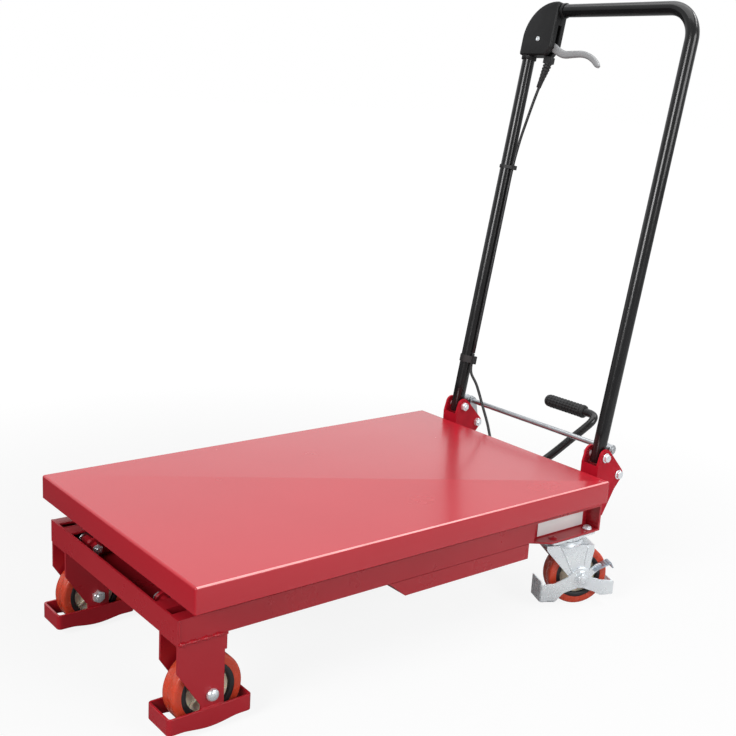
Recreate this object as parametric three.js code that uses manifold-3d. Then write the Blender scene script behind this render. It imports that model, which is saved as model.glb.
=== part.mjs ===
// Mobile scissor-lift table (hand-pumped lift cart), lowered, handle upright.
// Millimetres, +Z up, floor at z = 0. +X points from the fixed front wheels
// towards the handle, "left" is the -Y side and "right" the +Y side.
// Part coordinates are written from the middle of the table; the whole group is
// moved by SHIFT_X so that the bounding box is centred on the origin.
import * as THREE from 'three';
import { mergeVertices } from 'three/addons/utils/BufferGeometryUtils.js';
import Module from 'manifold-3d';

const wasm = await Module();
wasm.setup();

// ---------------------------------------------------------------- dimensions
const SHIFT_X = -79.645;          // centres the bounding box on x = 0

const TABLE_L = 740, TABLE_W = 450;
const TABLE_TOP = 220, TABLE_H = 35;       // lowered height, skirt height
const SKIRT_T = 2.5, DECK_T = 2.8;

const BASE_HALF_W = 188, BASE_FRONT = -372;
const BASE_Z0 = 130, BASE_Z1 = 163, BASE_T = 3;
const RAIL_END = 248.7;                    // side rails end, rear channels begin

const PIVOT_X = 325, ROLLER_X = -345;      // fixed pivots (rear), rollers (front)
const LOW_Z = 146.5, HIGH_Z = 203.5;       // lower and upper pivot heights, lowered
const MID_X = (PIVOT_X + ROLLER_X) / 2, MID_Z = (LOW_Z + HIGH_Z) / 2;
const ARM_R = 13;                          // half width of the arm bars
const OUTER_ARM = [112, 118], INNER_ARM = [98, 104];
const SHAFT_R = 6, BORE_R = 6.3;
const ROLLER_R = 13, ROLLER_Y = [126, 146];
const TRACK_WEB = [149, 152];

const CYL = { x: 150, z: 124 };            // cylinder trunnion
const PUSH = { x: -60.5, z: 192.8 };       // push tube on the inner arms
const CYL_R = 17, ROD_R = 8;

const WHEEL_R = 50, TREAD_R = 38.3, WHEEL_HALF = 15;
const FRONT_WHEEL = { x: -322, y: 164, z: 50 };
const CASTER = { x: 345, y: 166, trail: 24, psi: THREE.MathUtils.degToRad(-24.5) };

const HANDLE = { x: 404, z: 241, y: 168, lean: THREE.MathUtils.degToRad(10) };
const HANDLE_V = 715;                      // pivot to the middle of the top bar
const HANDLE_R = 11, HANDLE_BEND = 50;
const BAIL = { x: 440, z: 207 }, BAIL_ROD = { x: 432, z: 247 };
const PEDAL = { x: 352, z: 128 };
const VALVE = { x: 298, z: 130 };
const LEVER_PIN = { u: 143, v: 664 };

// ------------------------------------------------------------------- colours
const RED = [0xa5121f, 0.28, 0.1], BLACK = [0x111214, 0.3, 0.1], ZINC = [0xc3c8cc, 0.3, 0.9];
const STEEL = [0x8f9296, 0.4, 0.9], RUBBER = [0x17181a, 0.85, 0], TYRE = [0xd5492a, 0.5, 0];
const NYLON = [0xe4dcc8, 0.55, 0], LEVER = [0x8b8e90, 0.45, 0.2], PLATE = [0xe9e7e4, 0.5, 0];

// ------------------------------------------------------------------- helpers
function solid(geometry) {
  const g = geometry.clone();
  for (const k of Object.keys(g.attributes)) if (k !== 'position') g.deleteAttribute(k);
  const v = g.attributes.position.array;
  for (let i = 0; i < v.length; i++) v[i] = Math.round(v[i] * 1e3) / 1e3;
  const m = mergeVertices(g, 1e-4);
  return new wasm.Manifold(new wasm.Mesh({
    numProp: 3,
    vertProperties: new Float32Array(m.attributes.position.array),
    triVerts: new Uint32Array(m.index.array),
  }));
}
const join = (...s) => s.reduce((a, b) => a.add(b));
const cut = (a, ...s) => s.reduce((x, b) => x.subtract(b), a);

function box(x0, x1, y0, y1, z0, z1) {
  const g = new THREE.BoxGeometry(Math.abs(x1 - x0), Math.abs(y1 - y0), Math.abs(z1 - z0));
  g.translate((x0 + x1) / 2, (y0 + y1) / 2, (z0 + z1) / 2);
  return solid(g);
}
// cylinder or cone between two points
function rod(a, b, r, seg = 16, r2 = r) {
  const p = new THREE.Vector3(...a), q = new THREE.Vector3(...b);
  const g = new THREE.CylinderGeometry(r2, r, p.distanceTo(q), seg);
  const dir = q.clone().sub(p).normalize();
  g.applyQuaternion(new THREE.Quaternion().setFromUnitVectors(new THREE.Vector3(0, 1, 0), dir));
  g.translate((p.x + q.x) / 2, (p.y + q.y) / 2, (p.z + q.z) / 2);
  return solid(g);
}
const rodY = (x, z, y0, y1, r, seg = 16) => rod([x, y0, z], [x, y1, z], r, seg);
function shapeOf(points, holes = []) {
  const s = new THREE.Shape(points.map(p => new THREE.Vector2(p[0], p[1])));
  for (const h of holes) s.holes.push(new THREE.Path(h.map(p => new THREE.Vector2(p[0], p[1]))));
  return s;
}
// outline in a frame (U, V) pushed along N = U x V from n0 to n1
function prism(points, o, U, V, n0, n1, holes = []) {
  const lo = Math.min(n0, n1), g = new THREE.ExtrudeGeometry(shapeOf(points, holes), { depth: Math.abs(n1 - n0), bevelEnabled: false, steps: 1 });
  g.translate(0, 0, lo);
  const N = new THREE.Vector3().crossVectors(U, V);
  const m = new THREE.Matrix4().makeBasis(U, V, N).setPosition(new THREE.Vector3(...o));
  g.applyMatrix4(m);
  return solid(g);
}
const AX = new THREE.Vector3(1, 0, 0), AY = new THREE.Vector3(0, 1, 0), AZ = new THREE.Vector3(0, 0, 1);
// outline in x,z pushed along y (N = X x Z = -Y)
const plateXZ = (pts, y0, y1, holes) => prism(pts, [0, 0, 0], AX, AZ, -y0, -y1, holes);
const plateXY = (pts, z0, z1, holes) => prism(pts, [0, 0, 0], AX, AY, z0, z1, holes);
const plateYZ = (pts, x0, x1, holes) => prism(pts, [0, 0, 0], AY, AZ, x0, x1, holes);
function arc(cx, cy, r, d0, d1, n = 8) {
  const out = [];
  for (let i = 0; i <= n; i++) {
    const a = THREE.MathUtils.degToRad(d0 + (d1 - d0) * i / n);
    out.push([cx + r * Math.cos(a), cy + r * Math.sin(a)]);
  }
  return out;
}
// outline around two circles
function link(x0, z0, r0, x1, z1, r1, n = 8) {
  const d = Math.hypot(x1 - x0, z1 - z0), a = Math.atan2(z1 - z0, x1 - x0), b = Math.acos((r0 - r1) / d);
  const deg = 180 / Math.PI;
  return [
    ...arc(x0, z0, r0, (a + b) * deg, (a - b + 2 * Math.PI) * deg, n),
    ...arc(x1, z1, r1, (a - b) * deg, (a + b) * deg, n),
  ];
}
// solid of revolution about y through (x, z); profile is [radius, y] and closes on itself
function turned(profile, x, z, seg = 28) {
  const g = new THREE.LatheGeometry([...profile, profile[0]].map(p => new THREE.Vector2(p[0], p[1])), seg);
  g.translate(x, 0, z);
  let m = solid(g);
  return m;
}
// tube through given rings
class Route extends THREE.Curve {
  constructor(pts) { super(); this.pts = pts.map(p => new THREE.Vector3(...p)); }
  getPoint(t) {
    const n = this.pts.length - 1, f = Math.min(Math.max(t, 0), 1) * n, i = Math.min(Math.floor(f), n - 1);
    return this.pts[i].clone().lerp(this.pts[i + 1], f - i);
  }
  getPointAt(u) { return this.getPoint(u); }
  getTangent(t) {
    const n = this.pts.length - 1, i = Math.round(t * n);
    const a = this.pts[Math.max(i - 1, 0)], b = this.pts[Math.min(i + 1, n)], c = this.pts[i];
    if (i === 0 || i === n) return b.clone().sub(a).normalize();
    return c.clone().sub(a).normalize().add(b.clone().sub(c).normalize()).normalize();
  }
  getTangentAt(u) { return this.getTangent(u); }
  getSpacedPoints() { return this.pts.map(p => p.clone()); }
}
function tube(points, r, sides = 12) {
  const ring = [];
  for (let i = 0; i < sides; i++) ring.push([r * Math.cos(2 * Math.PI * i / sides), r * Math.sin(2 * Math.PI * i / sides)]);
  return solid(new THREE.ExtrudeGeometry(shapeOf(ring), { extrudePath: new Route(points), steps: points.length - 1, bevelEnabled: false }));
}
const smooth = (points, n) => new THREE.CatmullRomCurve3(points.map(p => new THREE.Vector3(...p)), false, 'centripetal').getSpacedPoints(n).map(v => v.toArray());

const group = new THREE.Group();
group.position.x = SHIFT_X;
function add(name, body, look, parent = group) {
  const m = body.getMesh();
  const g = new THREE.BufferGeometry();
  g.setAttribute('position', new THREE.BufferAttribute(new Float32Array(m.vertProperties), 3));
  g.setIndex(new THREE.BufferAttribute(new Uint32Array(m.triVerts), 1));
  g.computeVertexNormals();
  const mesh = new THREE.Mesh(g, new THREE.MeshStandardMaterial({ color: look[0], roughness: look[1], metalness: look[2] }));
  mesh.name = name;
  parent.add(mesh);
}
const SIDES = [['left', -1], ['right', 1]];
// y interval on one side
const Y = (s, a, b) => s > 0 ? [a, b] : [-b, -a];
const boxS = (s, x0, x1, a, b, z0, z1) => box(x0, x1, ...Y(s, a, b), z0, z1);

// ---------------------------------------------------------------- base frame
{
  const parts = [box(BASE_FRONT, BASE_FRONT + BASE_T, -BASE_HALF_W, BASE_HALF_W, BASE_Z0, BASE_Z1)];
  const cuts = [];
  for (const [, s] of SIDES) {
    // side rail, a channel open inwards
    parts.push(boxS(s, BASE_FRONT + 1, RAIL_END, 185, BASE_HALF_W - 0.2, BASE_Z0 + 0.2, BASE_Z1 - 0.2));
    parts.push(boxS(s, BASE_FRONT + 1.2, RAIL_END - 0.3, 168, 186, BASE_Z1 - BASE_T, BASE_Z1 - 0.2));
    parts.push(boxS(s, BASE_FRONT + 1.4, RAIL_END - 0.3, 168, 186, BASE_Z0 + 0.2, BASE_Z0 + BASE_T));
    // roller track, a channel open inwards
    parts.push(boxS(s, BASE_FRONT + 1.6, 395.5, ...TRACK_WEB, BASE_Z0 + 0.2, BASE_Z1 - 0.2));
    parts.push(boxS(s, BASE_FRONT + 1.8, 395, 122, 150, BASE_Z0 + 0.4, BASE_Z0 + BASE_T));
    parts.push(boxS(s, BASE_FRONT + 2, 280, 126, 150, BASE_Z1 - 2.8, BASE_Z1 - 0.4));
    cuts.push(rodY(PIVOT_X, LOW_Z, ...Y(s, 140, 157), BORE_R));
  }
  // cross members under the arms
  parts.push(box(-262, -232, -186, 186, BASE_Z0 + 0.6, BASE_Z0 + BASE_T - 0.2));
  parts.push(box(BASE_FRONT + 1, -240, -123, 123, BASE_Z0 + 0.8, BASE_Z0 + BASE_T - 0.6));          // bed plate closing the front bay
  parts.push(box(232, RAIL_END - 0.6, -186, 186, BASE_Z0 + 0.6, BASE_Z0 + BASE_T - 0.2));
  // rear beam, low in the middle under the pedal
  parts.push(plateYZ([[-158.7, 118], [158.7, 118], [158.7, 163], [118, 163], [112, 127], [-112, 127], [-118, 163], [-158.7, 163]], 392, 396));
  add('base_frame', cut(join(...parts), ...cuts), RED);
}

for (const [side, s] of SIDES) {
  // rear channel, open outwards, with a closed end
  const web = boxS(s, 249, 404, 159, 162, 118, 163);
  const low = plateXY([[252, s * 161], [404, s * 161], [404, s * 188], [290, s * 188]].sort(() => 0), 118, 121);
  const top = boxS(s, 249, 404, 161, 188, 160, 163);
  const end = boxS(s, 400, 404, 161, 188, 118, 163);
  const holes = [304, 386].map(x => rod([x, s * 177, 116], [x, s * 177, 123], 4.3, 16));
  add(`rear_channel_${side}`, cut(join(web, low, top, end), ...holes), RED);

  // front wheel fork: top plate, two legs and a short stiffener behind
  const leg = [[-371, 129.7], [-371, 90], [-337, 38], [-337, 18], [-304.5, 18], [-304.5, 129.7]];
  const fork = join(
    plateXZ(leg, ...Y(s, 184, 188)), plateXZ(leg, ...Y(s, 140, 144)),
    boxS(s, -371, -300, 140, 188, 126.7, 129.7), boxS(s, -305, -301.5, 146, 182, 107, 129.7), boxS(s, -306, -301.5, 140, 188, 107, 129.7));
  add(`front_fork_${side}`, cut(fork, rodY(FRONT_WHEEL.x, FRONT_WHEEL.z, ...Y(s, 136, 192), BORE_R)), RED);

  // foot guard: a strip bent round the wheel, its long walls deeper in the middle
  const wall = [[-385, 12], [-364, 12], [-350, 8], [-318, 8], [-300, 12], [-264, 12], [-264, 34], [-385, 34]];
  add(`foot_guard_${side}`, join(
    plateXZ(wall, ...Y(s, 188.3, 191.8)), plateXZ(wall, ...Y(s, 136.2, 139.7)),
    boxS(s, -385, -381.5, 137, 191, 12, 34), boxS(s, -267.5, -264, 137, 191, 12, 34)), RED);

  // handle bracket: two cheeks and a front web
  const cheek = [[387, 163.3], [404.3, 163.3], [404.3, 142], [410, 142], [433.7, 183.4],
    ...arc(BAIL.x, BAIL.z, 11, -38, 46, 6), ...arc(HANDLE.x, HANDLE.z, 13.5, 46, 150, 8), [387, 229]];
  const cheeks = join(plateXZ(cheek, ...Y(s, 181, 185)), plateXZ(cheek, ...Y(s, 150, 154)), boxS(s, 387, 390, 152, 183, 163.3, 228));
  add(`handle_bracket_${side}`, cut(cheeks,
    rodY(HANDLE.x, HANDLE.z, ...Y(s, 148, 187), 5.3), rodY(BAIL.x, BAIL.z, ...Y(s, 148, 187), 5.3)), RED);

  // bolts through the bracket
  const bolt = (x, z, ri) => join(rodY(x, z, ...Y(s, 145, 189), 5, 16),
    rodY(x, z, ...Y(s, 185.3, 190.3), 8.5, 6), rodY(x, z, ...Y(s, 143.7, 149.7), 8, 6));
  add(`handle_bolt_${side}`, bolt(HANDLE.x, HANDLE.z), ZINC);
  add(`bail_bolt_${side}`, bolt(BAIL.x, BAIL.z), ZINC);
}

// belly tray under the pump and cylinder
{
  const outer = plateXZ([[-40, 129.7], [-10, 105.5], [238, 105.5], [238, 129.7]], -188, 188);
  const inner = plateXZ([[-38.8, 131], [-37.1, 129.7], [-9.1, 107.9], [235.6, 107.9], [235.6, 131]], -185.6, 185.6);
  const notch = box(230, 240, -18, 18, 107.9, 131);
  add('pump_tray', cut(outer, inner, notch), RED);
}

// pump block with the pedal ears at the back and the cylinder trunnion in front
{
  const eye = (x, z, r) => [-1, 1].map(s => plateXZ([...arc(x, z, r, -20, 200, 12), [x - r + 1, 110], [x + r - 1, 110]], ...Y(s, 9.6, 14.4)));
  let b = join(
    box(250, 310, -34, 34, 109, 158), box(300, 338, -26, 26, 109, 138), box(138, 252, -15, 15, 108.6, 113.4),
    ...eye(CYL.x, CYL.z, 10.5),
    ...[-1, 1].map(s => boxS(s, 336, 352, 8.6, 13.6, 114, 136)),
    ...[-1, 1].map(s => plateXZ([...arc(PEDAL.x, PEDAL.z, 10, -90, 90, 10), [345, 138], [345, 118]], ...Y(s, 8.6, 13.6))));
  b = cut(b, rodY(CYL.x, CYL.z, -20, 20, 5.3), rodY(PEDAL.x, PEDAL.z, -20, 20, 5.3));
  add('pump_body', b, [0x2a2c2f, 0.5, 0.3]);
}
add('rating_plate', box(283, 389, -162.9, -162.3, 123, 152), PLATE);
add('base_pivot_shaft', rodY(PIVOT_X, LOW_Z, -156, 156, SHAFT_R), ZINC);

// --------------------------------------------------------------- front wheels
const tyreProfile = [[TREAD_R, -WHEEL_HALF], [48, -WHEEL_HALF], [WHEEL_R, -12], [WHEEL_R, 12], [48, WHEEL_HALF], [TREAD_R, WHEEL_HALF]];
const coreProfile = [[6.4, -18], [11.5, -18], [12.5, -12], [30, -9.5], [31.5, -14.5], [38, -14.5], [38, 14.5], [31.5, 14.5], [30, 9.5], [12.5, 12], [11.5, 18], [6.4, 18]];
for (const [side, s] of SIDES) {
  const yc = s * FRONT_WHEEL.y, at = p => p.map(([r, y]) => [r, y + yc]);
  add(`front_tyre_${side}`, turned(at(tyreProfile), FRONT_WHEEL.x, FRONT_WHEEL.z, 32), TYRE);
  add(`front_wheel_core_${side}`, turned(at(coreProfile), FRONT_WHEEL.x, FRONT_WHEEL.z, 20), NYLON);
  add(`front_axle_${side}`, join(rodY(FRONT_WHEEL.x, FRONT_WHEEL.z, ...Y(s, 134, 194), SHAFT_R),
    rodY(FRONT_WHEEL.x, FRONT_WHEEL.z, ...Y(s, 188.3, 195.5), 9, 16), rodY(FRONT_WHEEL.x, FRONT_WHEEL.z, ...Y(s, 132.5, 139.7), 9.5, 6)), ZINC);
}

// ------------------------------------------------------------------- casters
for (const [side, s] of SIDES) {
  const cx = CASTER.x, cy = s * CASTER.y;
  // top plate, raceway, king pin with its nut, two clamp bolts
  add(`caster_plate_${side}`, join(
    box(cx - 50, cx + 50, cy - 23, cy + 23, 114.5, 117.7), rod([cx, cy, 107], [cx, cy, 115], 23, 24),
    rod([cx, cy, 98.8], [cx, cy, 108], 6, 16), rod([cx, cy, 99.3], [cx, cy, 102.6], 9.5, 6),
    ...[304, 386].flatMap(x => [rod([x, s * 177, 115], [x, s * 177, 126], 4, 12), rod([x, s * 177, 121.3], [x, s * 177, 127], 7.5, 6)])), ZINC);

  // swivelling unit in its own frame: x along the rolling direction, brake side at -y
  const unit = new THREE.Group();
  unit.position.set(cx, cy, 0);
  unit.rotation.z = CASTER.psi;
  group.add(unit);
  const wx = CASTER.trail, wz = WHEEL_R;
  const cheek = [[-39, 106.7], [-39, 100], [wx - 12, 44], ...arc(wx, wz, 13, -150, 0, 8), [37, 86], [42, 98], [42, 106.7]];
  const crown = plateXY([...arc(30, -13, 12, -90, 0, 4), ...arc(30, 13, 12, 0, 90, 4), ...arc(-27, 13, 12, 90, 180, 4), ...arc(-27, -13, 12, 180, 270, 4)], 103, 106.7);
  const fork = join(crown, plateXZ(cheek, -24.5, -21.5), plateXZ(cheek, 21.5, 24.5));
  add(`caster_fork_${side}`, cut(fork, rod([0, 0, 100], [0, 0, 110], 6.4), rodY(wx, wz, -28, 28, BORE_R)), ZINC, unit);
  add(`caster_tyre_${side}`, turned(tyreProfile, wx, wz, 32), TYRE, unit);
  add(`caster_wheel_core_${side}`, turned(coreProfile, wx, wz, 20), NYLON, unit);
  add(`caster_axle_${side}`, join(rodY(wx, wz, -32, 29, SHAFT_R), rodY(wx, wz, -33, -27.6, 9, 6), rodY(wx, wz, 24.8, 30, 9, 6)), ZINC, unit);
  // brake rocker on the axle: side plate, two guard pads and the pedal
  const P = (x, z) => [wx + x, wz + z];
  const plate = join(
    rodY(wx, wz, -27.2, -24.9, 18, 24),
    plateXZ([P(-13, 12), P(-20, 0), P(-68, -28), P(-68, -38), P(-42, -40), P(-4, -17.5)], -27.2, -24.9),
    plateXZ([P(12, 13), P(22, -3), P(57, -9), P(57, -31), P(34, -32), P(2, -18)], -27.2, -24.9),
    plateXZ([P(0, 17.5), P(14, 11), P(24, 16), P(22, 22)], -27.2, -24.9));
  const pads = join(
    box(wx - 68.5, wx - 66, -27.2, 9, wz - 38, wz + 5),
    box(wx + 55.5, wx + 58, -27.2, 9, wz - 31, wz - 9),
    plateXZ([P(19.5, 12.5), P(48, 25.2), P(47, 27.5), P(18.5, 14.8)], -30.5, -18));
  add(`caster_brake_${side}`, cut(join(plate, pads), rodY(wx, wz, -30, -20, BORE_R)), ZINC, unit);
}

// -------------------------------------------------------------- scissor arms
const armOutline = up => up
  ? link(PIVOT_X, LOW_Z, ARM_R, ROLLER_X, HIGH_Z, ARM_R)
  : link(PIVOT_X, HIGH_Z, ARM_R, ROLLER_X, LOW_Z, ARM_R);
{
  const dir = new THREE.Vector2(ROLLER_X - PIVOT_X, HIGH_Z - LOW_Z).normalize();
  const tie = [MID_X + dir.x * 250, MID_Z + dir.y * 250];
  const a = join(...[-1, 1].map(s => plateXZ(armOutline(true), ...Y(s, ...OUTER_ARM))), rodY(...tie, -113, 113, 8));
  add('outer_arm_frame', cut(a, rodY(PIVOT_X, LOW_Z, -125, 125, BORE_R), rodY(ROLLER_X, HIGH_Z, -125, 125, BORE_R), rodY(MID_X, MID_Z, -125, 125, 7.3)), RED);
}
{
  const lugs = [-1, 1].map(s => plateXZ([[PUSH.x - 22, 168], [PUSH.x - 12, PUSH.z + 4], [PUSH.x, PUSH.z + 11], [PUSH.x + 12, PUSH.z + 4], [PUSH.x + 22, 172]], ...Y(s, 98.5, 103.5)));
  const a = join(...[-1, 1].map(s => plateXZ(armOutline(false), ...Y(s, ...INNER_ARM))), ...lugs,
    rodY(PUSH.x, PUSH.z, -99, 99, 8), rodY(200, 192.9, -99, 99, 8));
  // each lower roller turns on its own stud, welded through the arm: nut, collar, journal, retaining ring
  const studs = [-1, 1].map(s => join(rodY(ROLLER_X, LOW_Z, ...Y(s, 95, 148), SHAFT_R), rodY(ROLLER_X, LOW_Z, ...Y(s, 91.5, 98.6), 9, 6),
    rodY(ROLLER_X, LOW_Z, ...Y(s, 103.4, 125.6), 9), rodY(ROLLER_X, LOW_Z, ...Y(s, 146.3, 148.4), 8.5)));
  add('inner_arm_frame', join(cut(a, rodY(PIVOT_X, HIGH_Z, -125, 125, BORE_R), rodY(MID_X, MID_Z, -125, 125, 7.3)), ...studs), RED);
}
for (const [side, s] of SIDES) {
  add(`centre_pin_${side}`, join(rodY(MID_X, MID_Z, ...Y(s, 94, 122), 7), rodY(MID_X, MID_Z, ...Y(s, 118.3, 122), 11), rodY(MID_X, MID_Z, ...Y(s, 92.7, 97.7), 10.5, 6)), ZINC);
  const ring = [[BORE_R + 0.1, ROLLER_Y[0]], [ROLLER_R, ROLLER_Y[0]], [ROLLER_R, ROLLER_Y[1]], [BORE_R + 0.1, ROLLER_Y[1]]].map(([r, y]) => [r, s > 0 ? y : y - ROLLER_Y[0] - ROLLER_Y[1]]);
  add(`lower_roller_${side}`, turned(ring, ROLLER_X, LOW_Z, 20), STEEL);
  add(`upper_roller_${side}`, turned(ring, ROLLER_X, HIGH_Z, 20), STEEL);
}
const rollerShaft = z => join(rodY(ROLLER_X, z, -148, 148, SHAFT_R), ...[-1, 1].map(s => rodY(ROLLER_X, z, ...Y(s, 146.3, 148.4), 8.5)), ...[-1, 1].map(s => rodY(ROLLER_X, z, ...Y(s, 118.4, 125.6), 9)));
add('upper_roller_shaft', rollerShaft(HIGH_Z), ZINC);

// --------------------------------------------------------------------- table
{
  const hx = TABLE_L / 2, hy = TABLE_W / 2, z0 = TABLE_TOP - TABLE_H, zd = TABLE_TOP - DECK_T;
  let t = cut(box(-hx, hx, -hy, hy, z0, TABLE_TOP), box(-hx + SKIRT_T, hx - SKIRT_T, -hy + SKIRT_T, hy - SKIRT_T, z0 - 1, zd));
  for (const [, s] of SIDES) {
    t = join(t, boxS(s, -364, 360, ...TRACK_WEB, 185.3, zd + 1), boxS(s, -364, 280, 124, 150, 185.3, 188.3));
    t = cut(t, rodY(PIVOT_X, HIGH_Z, ...Y(s, 140, 157), BORE_R));
  }
  add('table_top', t, RED);
}
add('table_pivot_shaft', rodY(PIVOT_X, HIGH_Z, -156, 156, SHAFT_R), ZINC);

// ------------------------------------------------------------- lift cylinder
{
  const d = new THREE.Vector2(PUSH.x - CYL.x, PUSH.z - CYL.z), L = d.length();
  d.divideScalar(L);
  const at = (k, y = 0) => [CYL.x + d.x * k, y, CYL.z + d.y * k];
  const barrel = join(rodY(CYL.x, CYL.z, -9, 9, 9.5, 20), rod(at(4), at(18), 8.4, 16), rod(at(14), at(180), CYL_R, 24), rod(at(172), at(188), CYL_R + 2, 24),
    rodY(CYL.x, CYL.z, -14, 14, 5, 16));
  add('cylinder_barrel', cut(barrel, rod(at(100), at(200), ROD_R + 0.4, 16)), [0x24262a, 0.35, 0.2]);
  const eye = join(rodY(PUSH.x, PUSH.z, -9, 9, 16, 20), rod(at(104), at(L - 13), ROD_R, 16));
  add('piston_rod', cut(eye, rodY(PUSH.x, PUSH.z, -12, 12, 11.6, 20)), [0xd6d9dc, 0.12, 1]);
}

// --------------------------------------------------------- pedal, valve lever
{
  const path = smooth([[352, 0, 128], [363, -0.6, 137], [374, -6, 146], [395, -19.5, 163], [438, -40, 198], [478, -60, 237], [498, -71, 257], [508, -71, 266], [510, -58, 267.2], [510, -40, 267.2]], 18);
  path.push([510, 37.8, 267.2]);
  add('pedal_arm', join(tube(path, 7, 12), rodY(PEDAL.x, PEDAL.z, -8, 8, 9.5, 20), rodY(PEDAL.x, PEDAL.z, -15, 15, 5, 16)), BLACK);
  add('pedal_grip', turned([[0, 38.2], [7.4, 38.2], [7.4, -42], [7.6, -46], [9.8, -46], [10.6, -43], [10.2, -38], [10.2, 40], [8, 44], [0, 45]], 510, 267.2, 16), RUBBER);
}
add('valve_lever', join(plateXZ(link(VALVE.x, VALVE.z, 8, 338, 126, 5), 36, 40), rodY(VALVE.x, VALVE.z, 34.4, 42, 5, 16)), ZINC);

// -------------------------------------------------------------------- handle
const HU = AY.clone();                                                     // across
const HV = new THREE.Vector3(Math.sin(HANDLE.lean), 0, Math.cos(HANDLE.lean)); // up the legs
const HO = [HANDLE.x, 0, HANDLE.z];
const hp = (u, v, n = 0) => new THREE.Vector3(...HO).addScaledVector(HU, u).addScaledVector(HV, v)
  .addScaledVector(new THREE.Vector3().crossVectors(HU, HV), n).toArray();
{
  const c = HANDLE.y - HANDLE_BEND, top = HANDLE_V - HANDLE_BEND;
  const pts = [[HANDLE.y, -12], [HANDLE.y, 330], ...arc(c, top, HANDLE_BEND, 0, 90, 7), [0, HANDLE_V],
    ...arc(-c, top, HANDLE_BEND, 90, 180, 7), [-HANDLE.y, 330], [-HANDLE.y, -12]].map(p => hp(...p));
  const t = tube(pts, HANDLE_R, 14);
  add('handle_tube', cut(t, rodY(HANDLE.x, HANDLE.z, 150, 190, 5.4), rodY(HANDLE.x, HANDLE.z, -190, -150, 5.4)), BLACK);
  // lever housing clamped round the right-hand bend
  const body = prism([[181.5, 636], ...arc(c, top, 63.5, 0, 90, 10), [110, 728.5], [110, 650], [122, 636]], HO, HU, HV, -14, 14);
  const channel = tube([[HANDLE.y, 600], ...arc(c, top, HANDLE_BEND, 0, 90, 7), [90, HANDLE_V]].map(p => hp(...p)), 11.9, 14);
  const slot = prism([[104, 630], [156, 645], [156, 690], [104, 690]], HO, HU, HV, -4.2, 4.2);
  add('lever_housing', cut(body, channel, slot, rod(hp(LEVER_PIN.u, LEVER_PIN.v, -20), hp(LEVER_PIN.u, LEVER_PIN.v, 20), 3.4, 16)), BLACK);
}
{
  // release lever: a cranked flat blade on its pin
  const mid = [[143, 664, 8], [128, 658.5, 7.5], [114, 652, 7.2], [99, 644.5, 7], [86, 640.5, 6.6], [68, 641, 6.2], [47, 641.5, 6], [32, 638.5, 5.6], [18, 631.5, 5], [6, 621.5, 4.2]];
  const left = [], right = [];
  mid.forEach(([u, v, w], i) => {
    const a = mid[Math.max(i - 1, 0)], b = mid[Math.min(i + 1, mid.length - 1)];
    const t = new THREE.Vector2(b[0] - a[0], b[1] - a[1]).normalize();
    left.push([u - t.y * w, v + t.x * w]); right.push([u + t.y * w, v - t.x * w]);
  });
  const blade = prism([...left, ...right.reverse()], HO, HU, HV, -3.5, 3.5);
  const pin = rod(hp(LEVER_PIN.u, LEVER_PIN.v, -15), hp(LEVER_PIN.u, LEVER_PIN.v, 15), 3, 14);
  const boss = rod(hp(LEVER_PIN.u, LEVER_PIN.v, -3.8), hp(LEVER_PIN.u, LEVER_PIN.v, 3.8), 8.5, 18);
  add('release_lever', join(blade, pin, boss), LEVER);
}
{
  // cable adjuster under the housing, with its tapered boot
  const block = prism([[112, 624], [127, 624], [127, 635.5], [122.5, 635.5], [112, 635.5]], HO, HU, HV, -6.5, 6.5);
  add('cable_boot', join(block, rod(hp(119.8, 626), hp(120.6, 617), 6, 14), rod(hp(120.6, 618), hp(129.8, 582), 6, 14, 3.2)), RUBBER);
  const up = smooth([[130.1, 580.5], [134.5, 562], [141, 530], [148, 492], [152, 455], [153.2, 425]].map(p => hp(...p)), 14);
  up.push(hp(153.2, 250), hp(153.2, 74));
  add('cable_upper', tube(up, 2.5, 8), RUBBER);
  const N = new THREE.Vector3().crossVectors(HU, HV);
  const band = prism(link(168, 0, 14, 153.2, 0, 5.6, 10), hp(0, 94), HU, N.clone().negate(), -14, 0,
    []);
  add('cable_clip', cut(band, rod(hp(168, 60), hp(168, 100), 11.6, 24), rod(hp(153.2, 60), hp(153.2, 100), 2.9, 12)), RUBBER);
  const low = smooth([hp(153.2, 72.3), hp(149.3, 64), [413, 131, 286], [408, 104.5, 250], [400, 80, 222], [388, 58, 194], [372, 48, 166], [356, 45, 152], [343, 44.5, 147]], 30);
  add('cable_lower', tube(low, 2.5, 8), RUBBER);
}

// locking bail: cross rod with end bushes and two links
{
  const links = [-1, 1].map(s => plateXZ(link(BAIL.x, BAIL.z, 9, BAIL_ROD.x, BAIL_ROD.z, 7.5), ...Y(s, 155, 158.5)));
  const b = join(rodY(BAIL_ROD.x, BAIL_ROD.z, -176, 176, 4.5, 16), ...[-1, 1].map(s => rodY(BAIL_ROD.x, BAIL_ROD.z, ...Y(s, 160, 175), 8.5, 20)), ...links);
  add('lock_bail', cut(b, rodY(BAIL.x, BAIL.z, -165, 165, 5.4)), ZINC);
}

export default group;
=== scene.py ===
import math
import random

import bmesh
import bpy
from mathutils import Matrix, Vector


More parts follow.
